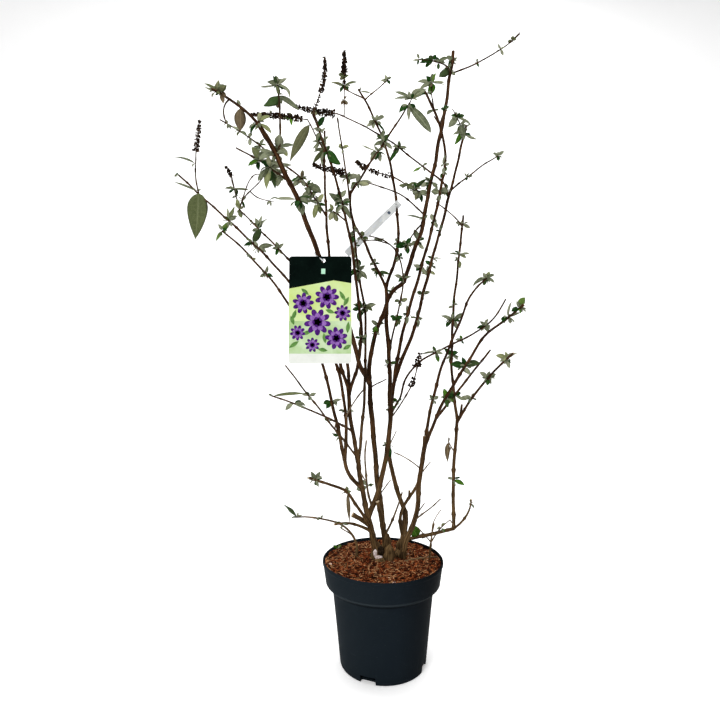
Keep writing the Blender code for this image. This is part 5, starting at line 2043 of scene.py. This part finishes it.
        (0.73, 2, "60 16 8 D, 240 16 8 G, 330 12 6 G"),
        (0.57, 3, "160 26 10 G, 10 24 9 G, 220 18 9 D, 80 14 7 G"),
        (0.42, 2, "20 20 11 O, 180 16 9 O, 270 12 6 G"),
        (0.3, 4, "150 22 12 D, 30 20 11 D, 270 18 11 D, 90 16 8 G"),
    ),
    "centre_lateral": (
        (0.56, 2, "170 24 9 O -20, 10 30 9 O -40, 280 14 7 G"),
        (0.8, 5, "40 46 12 D, 150 24 14 O, 320 22 11 G, 80 20 9 D"),
        (1.0, 5, "240 32 14 O, 350 24 12 G, 290 26 12 D, 190 20 10 G"),
    ),
    "back_right_bough": (
        (0.35, 2, "120 16 8 G, 0 14 7 G, 250 14 7 D"),
        (1.0, 3, "150 18 9 G, 30 20 10 G, 270 16 9 D, 90 14 7 G"),
    ),
    "right_side_leader": (
        (0.95, 3, "170 22 10 G, -20 24 11 G, 90 16 9 G"),
        (0.79, 2, "178 28 7 G, 2 30 7 G, 100 12 6 G"),
        (0.765, 1, "275 26 12 O, 150 12 6 G"),
        (0.46, 6, "160 34 12 G, 30 36 13 G, 220 28 11 D, 300 28 11 G, 90 24 10 D"),
        (0.53, 2, "85 24 9 D, 200 14 7 G"),
        (0.29, 4, "140 26 13 D, 30 24 13 D, 260 20 11 G, 330 22 11 G"),
    ),
    "right_down_lateral": ((0.87, 5, "190 30 16 D, 60 22 12 D, 280 22 11 D, 130 20 9 G"),),
    "inner_right_cane": (
        (0.97, 3, "214 42 9 G 70, 186 30 10 G 30, -35 26 8 G -60, 24 24 10 G -40, 110 18 10 G, "
         "60 20 11 P, 250 20 10 D"),
        (0.23, 2, "120 16 8 G, 30 16 9 G, 260 14 8 G"),
    ),
    "right_leader_foot": (
        (0.84, 2, "80 16 8 G, 250 16 8 G, 160 12 6 D"),
        (0.49, 4, "140 20 11 G, 30 18 10 D, 270 18 10 G"),
        (0.41, 2, "90 20 13 B, 250 14 8 D"),
    ),
    "back_lateral": (
        (0.62, 2, "80 16 9 B, 180 16 8 G, 300 12 6 D"),
        (0.44, 2, "290 30 11 B, 110 18 9 D, 190 40 6 G 30, 20 24 6 G -30"),
        (0.8, 4, "60 26 10 G, 200 24 10 D, 300 26 10 G, 130 20 9 G"),
        (0.07, 1, "150 16 9 B, 30 12 7 D"),
    ),
    "outer_right_cane": (
        (0.55, 4, "170 32 16 D, 10 34 16 D, 110 22 11 D, 300 20 10 G"),
        (0.97, 3, "60 26 16 B, 200 18 11 D, 110 16 8 G"),
        (0.9, 3, "75 36 6 G -30, 20 30 6 G -20, 200 16 8 D, 300 16 8 G"),
        (0.34, 3, "100 20 11 B, 20 22 12 D, 280 22 11 D, 330 18 9 B"),
    ),
    "right_side_arm": (
        (0.61, 4, "150 24 11 G, 20 26 11 G, 270 18 10 D, 80 16 9 G"),
        (0.9, 4, "160 26 12 P, 30 28 11 G, 80 20 11 P, 290 22 10 G, 200 18 8 G"),
        (0.31, 3, "170 24 10 G, 60 16 9 G, 40 20 6 G -60"),
    ),
    "short_right_cane": ((0.34, 3, "150 18 10 D, 20 16 9 D, -35 30 9 G"),),
    "centre_stem": (
        (0.64, 2, "130 18 9 G, 20 18 9 D, 270 14 8 G"),
        (0.3, 1, "280 30 12 D, 150 10 6 G"),
        (0.45, 1, "20 14 7 D, 190 10 6 G"),
        (0.25, 0, "260 20 8 D"),
    ),
    "thin_left_cane": (
        (0.66, 2, "170 16 8 G, 20 18 8 G, 120 14 7 D, 300 12 6 G"),
        (0.38, 1, "150 14 8 B, 30 10 6 D"),
    ),
    "low_left_bough": (
        (0.93, 3, "120 22 10 G, 60 20 9 G, 170 20 9 G, 20 16 8 G"),
        (0.56, 1, "100 14 9 P, 20 10 7 O, 272 72 12 X -10"),
    ),
    "far_low_left_bough": (
        (0.78, 1, "-10 30 7 G, -25 26 7 G"),
        (0.99, 0, "4 78 9 O -14, 160 10 5 G"),
    ),
    "bottom_left_bough": (
        (0.95, 1, "136 50 17 D -10, 20 16 6 G, 80 12 5 G"),
        (0.67, 1, "60 10 6 G, 200 10 6 G"),
    ),
    "low_right_bough": ((0.21, 0, "128 32 26 B"),),
    "rim_branch": ((0.55, 1, "60 14 7 O, 200 12 7 G, 300 12 7 B"),),
    "mulch_shoot": ((0.95, 1, "40 18 9 B, 150 14 8 B"),),
    "dead_rod": ((0.3, 1, "206 30 17 G, 15 16 8 G, 140 20 9 G"),),
    "right_side_cane": ((0.42, 1, "170 14 7 G, -32 30 12 B"),),
    "back_right_stem": ((0.78, 1, "40 12 7 D, 200 12 6 G"),),
    "low_branch": ((0.8, 1, "190 18 5 G, 350 16 5 G"),),
    "dry_bit": ((0.9, 0, "264 50 13 X 15, 80 12 5 X"),),
    "low_right_tip": ((0.9, 1, "-60 12 5 G, 100 10 5 G"),),
    "pair_spike_top": (
        (0.58, 2, "150 20 12 O, 210 16 9 O, 30 16 9 O"),
        (0.46, 3, "165 42 9 O 45, 10 42 9 O -45, 230 20 10 D, 310 20 10 D"),
        (0.25, 2, "300 18 10 X, 240 16 9 X, 60 14 7 X"),
    ),
    "horizontal_spike_a": ((0.48, 1, "240 24 10 P, 200 22 9 P, 300 18 8 G"),),
    "horizontal_spike_b": (
        (0.26, 2, "280 24 9 B, 100 14 8 O, 190 20 9 O"),
        (0.59, 1, "100 14 8 O, 300 14 7 O"),
    ),
}

SPRAYS = tuple(
    Spray(limb, share, extra, tuple(Blade.read(row) for row in rows.split(", ")))
    for limb, places in LEAF_ROWS.items()
    for share, extra, rows in places
)


class BladeShape:
    """A thin closed leaf shape, as corners on a unit blade and faces with an upper side and an underside."""

    def __init__(self, along: int, across: int) -> None:
        """Make the shape from a grid and its mirrored copy, welded at the rim.

        Args:
            along: How many faces from base to tip.
            across: How many faces from rim to rim.
        """
        bm = bmesh.new()
        bmesh.ops.create_grid(bm, x_segments=along, y_segments=across, size=1.0)
        for vert in bm.verts:
            rim = max(abs(vert.co.x), abs(vert.co.y)) > 0.999
            vert.co.z = 0.0 if rim else 1.0
        copied = bmesh.ops.duplicate(bm, geom=bm.faces[:])["geom"]
        under = [item for item in copied if isinstance(item, bmesh.types.BMFace)]
        for vert in {vert for face in under for vert in face.verts}:
            vert.co.z *= -1
        for face in under:
            face.material_index = 1
        bmesh.ops.reverse_faces(bm, faces=under)
        bmesh.ops.remove_doubles(bm, verts=bm.verts[:], dist=1e-5)
        ends = [[vert for vert in bm.verts if vert.co.x * side > 0.999] for side in (-1, 1)]
        for end in ends:
            bmesh.ops.pointmerge(bm, verts=end, merge_co=(end[0].co.x, 0, 0))
        bm.verts.ensure_lookup_table()
        self.u = np.array([(vert.co.x + 1) / 2 for vert in bm.verts])
        self.v = np.array([vert.co.y for vert in bm.verts])
        self.side = np.array([vert.co.z for vert in bm.verts])
        self.faces = [tuple(vert.index for vert in face.verts) for face in bm.faces]
        self.under = [face.material_index for face in bm.faces]
        bm.free()


@dataclass(frozen=True)
class LeafForm:
    """How one leaf is bent: all turns in radians."""

    base: float = 0.75
    tip: float = 0.95
    fold: float = 0.3
    arch: float = 0.5
    curve: float = 0.0
    twist: float = 0.0
    ripple: float = 0.1
    thickness: float = 0.0005


def shape_leaf(shape: BladeShape, length: float, width: float, form: LeafForm, phase: float) -> np.ndarray:
    """Return a leaf's corners: it grows along +X with its upper side towards +Z.

    Args:
        shape: The unit blade.
        length: Its length in metres.
        width: Its width in metres.
        form: How it is bent.
        phase: Shifts the ripple along the rim.

    Returns:
        The corners.
    """
    u, v = shape.u, shape.v
    peak = form.base / (form.base + form.tip)
    full = peak**form.base * (1 - peak) ** form.tip
    outline = np.clip(u, 0, 1) ** form.base * np.clip(1 - u, 0, 1) ** form.tip / full
    half = 0.5 * width * outline
    y = half * v
    z = form.fold * half * np.abs(v) + form.ripple * half * v * v * np.sin(9 * u + phase + 1.5 * v)
    z = z + shape.side * form.thickness * 0.5
    turn = form.twist * u
    y, z = y * np.cos(turn) - z * np.sin(turn), y * np.sin(turn) + z * np.cos(turn)
    arch = form.arch * u
    x = length * u * np.sinc(arch / (2 * math.pi)) * np.cos(arch / 2) + z * np.sin(arch)
    z = z * np.cos(arch) - length * u * np.sinc(arch / (2 * math.pi)) * np.sin(arch / 2)
    bend = form.curve * u
    spine = length * u * np.sinc(bend / (2 * math.pi))
    swing_x = spine * np.cos(bend / 2) - y * np.sin(bend)
    swing_y = spine * np.sin(bend / 2) + y * np.cos(bend)
    return np.stack([swing_x + (x - length * u), swing_y, z], 1)


class Foliage:
    """All leaves, built spray by spray from the rows and the branching rule.

    Leaves longer than fine_length, in metres, get the finer mesh. The piece for the left side takes the
    sprays left of middle_x, and great_size is the great leaf's length and width.
    """

    fine_length = 0.021
    middle_x = -0.06
    great_size = (0.139, 0.06)

    def __init__(self, skeleton: Skeleton, finishes: Finishes) -> None:
        """Keep the limbs' lines and make the two leaf shapes.

        Args:
            skeleton: The limbs' lines.
            finishes: All finishes.
        """
        self.skeleton = skeleton
        self.materials = finishes.leaf
        self.fine = BladeShape(9, 4)
        self.small = BladeShape(6, 2)

    def leaf(
        self,
        batch: Batch,
        base: np.ndarray,
        heading: np.ndarray,
        facing: np.ndarray,
        size: tuple[float, float],
        tint: Tint,
        form: LeafForm,
        phase: float,
    ) -> None:
        """Add one leaf.

        Args:
            batch: The joined piece it goes into.
            base: Where it starts.
            heading: Which way it points.
            facing: Which way its upper side faces.
            size: Its length and width in metres.
            tint: Its colour.
            form: How it is bent.
            phase: Shifts its ripple.
        """
        shape = self.fine if size[0] > self.fine_length else self.small
        x_axis = unit(heading)
        z_axis = unit(facing - x_axis * float(facing @ x_axis))
        y_axis = np.cross(z_axis, x_axis)
        local = shape_leaf(shape, size[0], size[1], form, phase)
        points = base + local @ np.stack([x_axis, y_axis, z_axis])
        slot = 2 * list(Tint).index(tint)
        marks = np.stack([shape.u, shape.v, np.full_like(shape.u, phase)], 1)
        batch.add(points, shape.faces, [slot + under for under in shape.under], marks)

    def spray(self, batch: Batch, spray: Spray) -> None:
        """Add a spray's rows and the leaves that the branching rule puts around them.

        Args:
            batch: The joined piece it goes into.
            spray: The spray.
        """
        source = rng("spray", spray.limb, round(1000 * spray.share))
        centre = self.skeleton.at(spray.limb, spray.share)
        radius = self.skeleton.radius(spray.limb, spray.share)
        for blade in spray.blades:
            length, width = blade.length, blade.width
            droop = -math.cos(math.radians(blade.bearing)) * float(source.uniform(0.25, 1.05))
            curve = droop if blade.turn is None else math.radians(blade.turn)
            turn = math.radians(blade.bearing) - 0.5 * curve
            depth = float(source.normal(0, 0.3 if length < 34 else 0.1))
            flat = np.array((math.cos(turn), 0.0, math.sin(turn)))
            heading = unit(flat + np.array((0.0, depth, 0.0)))
            narrow = 0.25 if width > 0.3 * length else 0.6
            tilt = float(source.normal(0, narrow)) if width > 7 else float(source.normal(0, 0.3))
            facing = np.array((0.0, -1.0, 0.0)) + math.sin(tilt) * np.cross(flat, (0.0, -1.0, 0.0))
            if source.uniform() < 0.25:
                facing = -facing
                curve = -curve
            form = LeafForm(
                base=float(source.uniform(0.65, 0.95)),
                tip=float(source.uniform(0.75, 1.25)),
                fold=float(source.uniform(0.1, 0.5)),
                arch=float(source.uniform(-0.2, 0.7)) * (1.0 if length < 34 else 0.3),
                curve=curve,
                twist=float(source.normal(0, 0.25)),
            )
            size = (1.08 * length * MM, 1.12 * width * MM)
            base = centre + heading * radius * 0.6 - np.array((0.0, 0.4 * radius, 0.0))
            self.leaf(batch, base, heading, facing, size, blade.tint, form, float(source.uniform(0, 6)))
        self.partners(batch, spray, centre, radius, source)

    def partners(
        self, batch: Batch, spray: Spray, centre: np.ndarray, radius: float, source: np.random.Generator
    ) -> None:
        """Add seeded leaves that point towards and away from the viewer, so that the spray is full all round.

        Args:
            batch: The joined piece.
            spray: The spray.
            centre: Where it grows.
            radius: The limb's radius there.
            source: The spray's random source.
        """
        along = self.skeleton.along(spray.limb, spray.share)
        mean = float(np.mean([min(blade.length, 34) for blade in spray.blades]))
        tints = [blade.tint for blade in spray.blades] + [Tint.GREY]
        for _ in range(round(1.3 * spray.extra)):
            side = 1.0 if source.uniform() < 0.5 else -1.0
            rise = math.radians(float(source.normal(8, 38)))
            turn = rise if side > 0 else math.pi - rise
            heading = np.array((math.cos(turn), float(source.normal(0, 0.35)), math.sin(turn)))
            length = min(mean, 26) * float(source.uniform(0.35, 0.95))
            curve = -side * float(source.uniform(0.3, 1.3))
            arch = float(source.uniform(0, 0.8))
            form = LeafForm(arch=arch, curve=curve, twist=float(source.normal(0, 0.4)))
            facing = np.array((0.0, -1.0, 0.5)) + source.normal(0, 0.4, 3)
            tint = (Tint.GREY, Tint.GREY, Tint.DARK, Tint.OLIVE)[int(source.integers(4))]
            size = (length * MM, length * MM * float(source.uniform(0.28, 0.5)))
            self.leaf(batch, centre + heading * radius * 0.6, heading, facing, size, tint, form, turn)
        for number in range(spray.extra):
            turn = float(source.uniform(0, 6.283))
            side = 1.0 if number % 2 else -1.0
            deep = side * float(source.uniform(0.5, 1.0))
            heading = np.array((0.75 * math.cos(turn), deep, 0.75 * math.sin(turn)))
            heading = unit(heading + 0.25 * along)
            length = mean * float(source.uniform(0.6, 1.05))
            width = length * float(source.uniform(0.28, 0.46))
            facing = np.array((0.0, -0.35, 1.0)) + source.normal(0, 0.4, 3)
            form = LeafForm(
                fold=float(source.uniform(0.1, 0.5)),
                arch=float(source.uniform(0.3, 1.3)),
                curve=float(source.normal(0, 0.2)),
                twist=float(source.normal(0, 0.4)),
            )
            tint = tints[int(source.integers(len(tints)))]
            size = (length * MM, width * MM)
            phase = float(source.uniform(0, 6))
            self.leaf(batch, centre + heading * radius * 0.6, heading, facing, size, tint, form, phase)

    def great_leaf(self) -> None:
        """Build the one big leaf under the far left cane's tip, in place of its node."""
        batch = Batch()
        self.fine = BladeShape(22, 8)
        base = self.skeleton.at("far_left_cane", 0.91) + np.array((0.0, -0.004, 0.0))
        heading = np.array((0.04, -0.05, -1.0))
        facing = np.array((0.1, -1.0, 0.1))
        form = LeafForm(
            base=0.66, tip=1.1, fold=0.16, arch=0.12, curve=-0.16, twist=0.12, ripple=0.1, thickness=0.0008
        )
        self.leaf(batch, base, heading, facing, self.great_size, Tint.OLIVE, form, 1.0)
        piece = batch.build("great_leaf_blade", self.materials, mark=Space.BLADE.value)
        hand_over(piece, "great_leaf")
        self.fine = BladeShape(9, 4)

    def build(self) -> None:
        """Build every leaf, in one piece for each mass node and one for the rest of each side."""
        groups: dict[str, list[Spray]] = {}
        for spray in SPRAYS:
            group = "leaves_right"
            if self.skeleton.at(spray.limb, spray.share)[0] < self.middle_x:
                group = "leaves_left"
            for mass, hosts in MASSES.items():
                if spray.share in hosts.get(spray.limb, ()):
                    group = mass
            groups.setdefault(group, []).append(spray)
        for group, sprays in groups.items():
            batch = Batch()
            for spray in sprays:
                self.spray(batch, spray)
            piece = batch.build(f"{group}_sprays", self.materials, mark=Space.BLADE.value)
            hand_over(piece, group if group in MASSES else "")
        self.great_leaf()
        LOG.info("leaves: %d sprays", len(SPRAYS))


MASSES = {
    "left_tip_leaves": {"left_leader_tip": (0.91, 0.84)},
    "left_stalk_leaves": {"left_stalk": (1.0, 0.86)},
    "left_inner_leaves": {"left_inner_twig": (0.58, 0.4, 0.14)},
    "upper_left_leaves": {"long_left_bough": (0.3, 0.24, 0.18, 0.1)},
    "upper_middle_leaves": {"middle_cane": (0.67, 0.69), "middle_lateral": (0.76,)},
    "middle_top_leaves": {"middle_left_cane": (0.92,), "middle_cane": (0.93, 0.86)},
    "centre_top_leaves": {"diagonal_bough": (0.5, 0.62), "centre_cane": (0.82, 0.73)},
    "high_centre_leaves": {"high_centre_twig": (0.98, 0.6)},
    "high_right_leaves": {"leader_left_shoot": (0.6, 0.47, 0.21)},
    "right_top_leaves": {"back_right_prong": (0.67, 0.45), "back_right_cane": (0.99, 0.96)},
    "right_middle_leaves": {"right_leader": (0.42,), "centre_lateral": (1.0, 0.8), "right_cane": (0.65,)},
    "right_lower_leaves": {"right_down_lateral": (0.87,), "right_leader": (0.17,)},
}


@dataclass(frozen=True)
class Spike:
    """A dried flower spike: florets around a stretch of a limb, with sizes in millimetres."""

    limb: str
    start: float
    end: float
    radius: float
    gap: float
    size: float
    whorl: int = 6
    node: str = ""


SPIKE_STALKS = (
    Twig("left_spike_axis", "left_spike_stalk", 0.98, (10, 0, 98), (1.8, 1)),
    Twig("pair_spike_top", "long_back_bough", 0.94, (0, 10, 220), (2.6, 1.2)),
    Twig("sparse_spike", "top_strand_a", 0.98, (30, 10, 175), (2.2, 1), (15, 0, 10)),
    Twig("horizontal_spike_a", "long_back_bough", 0.99, (-130, -20, 15), (2.2, 1), (0, 0, -4)),
    Twig("horizontal_spike_b", "top_strand_b", 0.98, (-170, 20, 26), (2, 1), (-10, 0, 5)),
    Twig("horizontal_spike_c", "slim_cane", 0.79, (-90, -10, 20), (2, 1), (0, 0, -3)),
    Twig("loose_spike", "centre_cane", 0.53, (-110, -30, 35), (2, 1), (-10, 0, -5)),
    Twig("small_spike", "spike_stalk_small", 0.98, (-20, 0, 34), (1.6, 1)),
)

SPIKES = (
    Spike("left_spike_axis", 0.02, 1.0, 7.5, 6.0, 4.6, 5, "left_flower_spike"),
    Spike("pair_spike_top", 0.62, 1.0, 8.5, 3.7, 4.4, 6, "top_flower_spike"),
    Spike("pair_spike_top", 0.42, 0.6, 6.0, 4.5, 3.6, 5),
    Spike("sparse_spike", 0.3, 1.0, 7.0, 5.4, 4.4, 6),
    Spike("sparse_spike", 0.05, 0.28, 5.5, 6.0, 3.8, 4),
    Spike("horizontal_spike_a", 0.05, 1.0, 10.5, 4.0, 4.6, 7),
    Spike("horizontal_spike_b", 0.08, 1.0, 8.0, 4.4, 4.6, 7),
    Spike("horizontal_spike_c", 0.05, 1.0, 9.0, 3.8, 4.4, 6),
    Spike("loose_spike", 0.04, 0.24, 8.5, 5.5, 4.6, 5),
    Spike("centre_lateral", 0.86, 1.0, 8.0, 5.0, 4.6, 5),
    Spike("loose_spike", 0.3, 0.56, 7.0, 4.0, 4.2, 6),
    Spike("loose_spike", 0.66, 1.0, 8.0, 4.0, 4.6, 6),
    Spike("small_spike", 0.0, 1.0, 6.5, 3.6, 4.2, 6),
    Spike("dried_stalk", 0.8, 1.0, 11.0, 5.5, 5.0, 5),
    Spike("dried_stalk", 0.5, 0.66, 8.0, 5.5, 4.6, 5),
)


class DriedSpikes:
    """The old flower spikes: thin axes set with dry, dark, open capsules."""

    def __init__(self, skeleton: Skeleton, finishes: Finishes) -> None:
        """Keep the limbs' lines and make the floret shape.

        Args:
            skeleton: The limbs' lines.
            finishes: All finishes.
        """
        self.skeleton = skeleton
        self.finishes = finishes
        bm = bmesh.new()
        bmesh.ops.create_cone(bm, cap_ends=True, segments=5, radius1=0.28, radius2=0.5, depth=1.0)
        top = [face for face in bm.faces if face.calc_center_median().z > 0.45]
        bmesh.ops.inset_region(bm, faces=top, thickness=0.14, use_even_offset=False)
        bmesh.ops.translate(bm, vec=(0, 0, -0.3), verts=list({vert for face in top for vert in face.verts}))
        bm.verts.ensure_lookup_table()
        self.points = np.array([vert.co[:] for vert in bm.verts]) + (0, 0, 0.5)
        self.faces = [tuple(vert.index for vert in face.verts) for face in bm.faces]
        bm.free()

    def spike(self, batch: Batch, spike: Spike) -> None:
        """Add one spike's florets, whorl by whorl, smaller towards the tip.

        Args:
            batch: The joined piece it goes into.
            spike: The spike.
        """
        source = rng("spike", spike.limb, round(100 * spike.start))
        length = self.skeleton.length(spike.limb) * (spike.end - spike.start)
        whorls = max(int(length / (spike.gap * MM)), 2)
        for whorl in range(whorls):
            part = (whorl + float(source.uniform(-0.3, 0.3))) / whorls
            share = spike.start + (spike.end - spike.start) * min(max(part, 0.0), 1.0)
            centre = self.skeleton.at(spike.limb, share)
            along = self.skeleton.along(spike.limb, share)
            first = unit(np.cross(along, (0.3, 0.8, 0.5)))
            second = np.cross(along, first)
            taper = 1.0 - 0.55 * max(part, 0.0) ** 1.5
            for number in range(spike.whorl):
                if source.uniform() < 0.1:
                    continue
                turn = 2 * math.pi * (number + 0.5 * whorl) / spike.whorl + float(source.normal(0, 0.3))
                out = first * math.cos(turn) + second * math.sin(turn)
                heading = unit(out + along * float(source.uniform(0.1, 0.9)))
                reach = MM * spike.radius * taper * float(source.uniform(0.35, 1.15))
                size = 1.55 * MM * spike.size * float(source.uniform(0.65, 1.15)) * (0.6 + 0.4 * taper)
                side = unit(np.cross(heading, (0.2, 0.5, 0.8)))
                axes = np.stack([side, np.cross(heading, side), heading])
                base = centre + out * max(reach - 0.5 * size, 0.0)
                points = base + (self.points * (0.85 * size, 0.85 * size, size)) @ axes
                slot = 1 if source.uniform() < 0.16 else 0
                batch.add(points, self.faces, [slot] * len(self.faces))

    def axes(self, limbs: list[str], name: str) -> bpy.types.Object:
        """Return the axes of some spikes as one piece.

        Args:
            limbs: The limbs' names.
            name: The piece's name.

        Returns:
            The piece.
        """
        bm = bmesh.new()
        bm.verts.layers.float_vector.new("grain")
        for limb in limbs:
            Cane(self.skeleton, limb, THIN).build(bm, 0)
        return new_mesh(name, bm, [self.finishes.twig])

    def build(self) -> None:
        """Build the spikes, those that stand for a node in pieces of their own."""
        loose = Batch()
        for spike in SPIKES:
            if spike.node:
                batch = Batch()
                self.spike(batch, spike)
                piece = batch.build(f"{spike.node}_florets", self.finishes.florets, smooth=False)
                hand_over(piece, spike.node)
            else:
                self.spike(loose, spike)
        piece = loose.build("loose_florets", self.finishes.florets, smooth=False)
        hand_over(piece)
        hand_over(self.axes([limb.name for limb in SPIKE_STALKS], "spike_axes"))
        LOG.info("dried spikes: %d stretches", len(SPIKES))


def main() -> None:
    """Build the plant's looks from the ground up."""
    logging.basicConfig(level=logging.INFO, format="%(message)s")
    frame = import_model()
    finishes = Finishes()
    skeleton = Skeleton(CANES + TWIGS + SPIKE_STALKS)
    Studio().build()
    Pot().build(finishes)
    Mulch().build(finishes, frame["nodes"])
    Crown().build(finishes)
    Wood(skeleton, finishes).build()
    Foliage(skeleton, finishes).build()
    DriedSpikes(skeleton, finishes).build()
    PictureTag().build(finishes)
    TagTie().build(finishes)
    StripTag().build(finishes, skeleton)


if __name__ == "__main__":
    main()
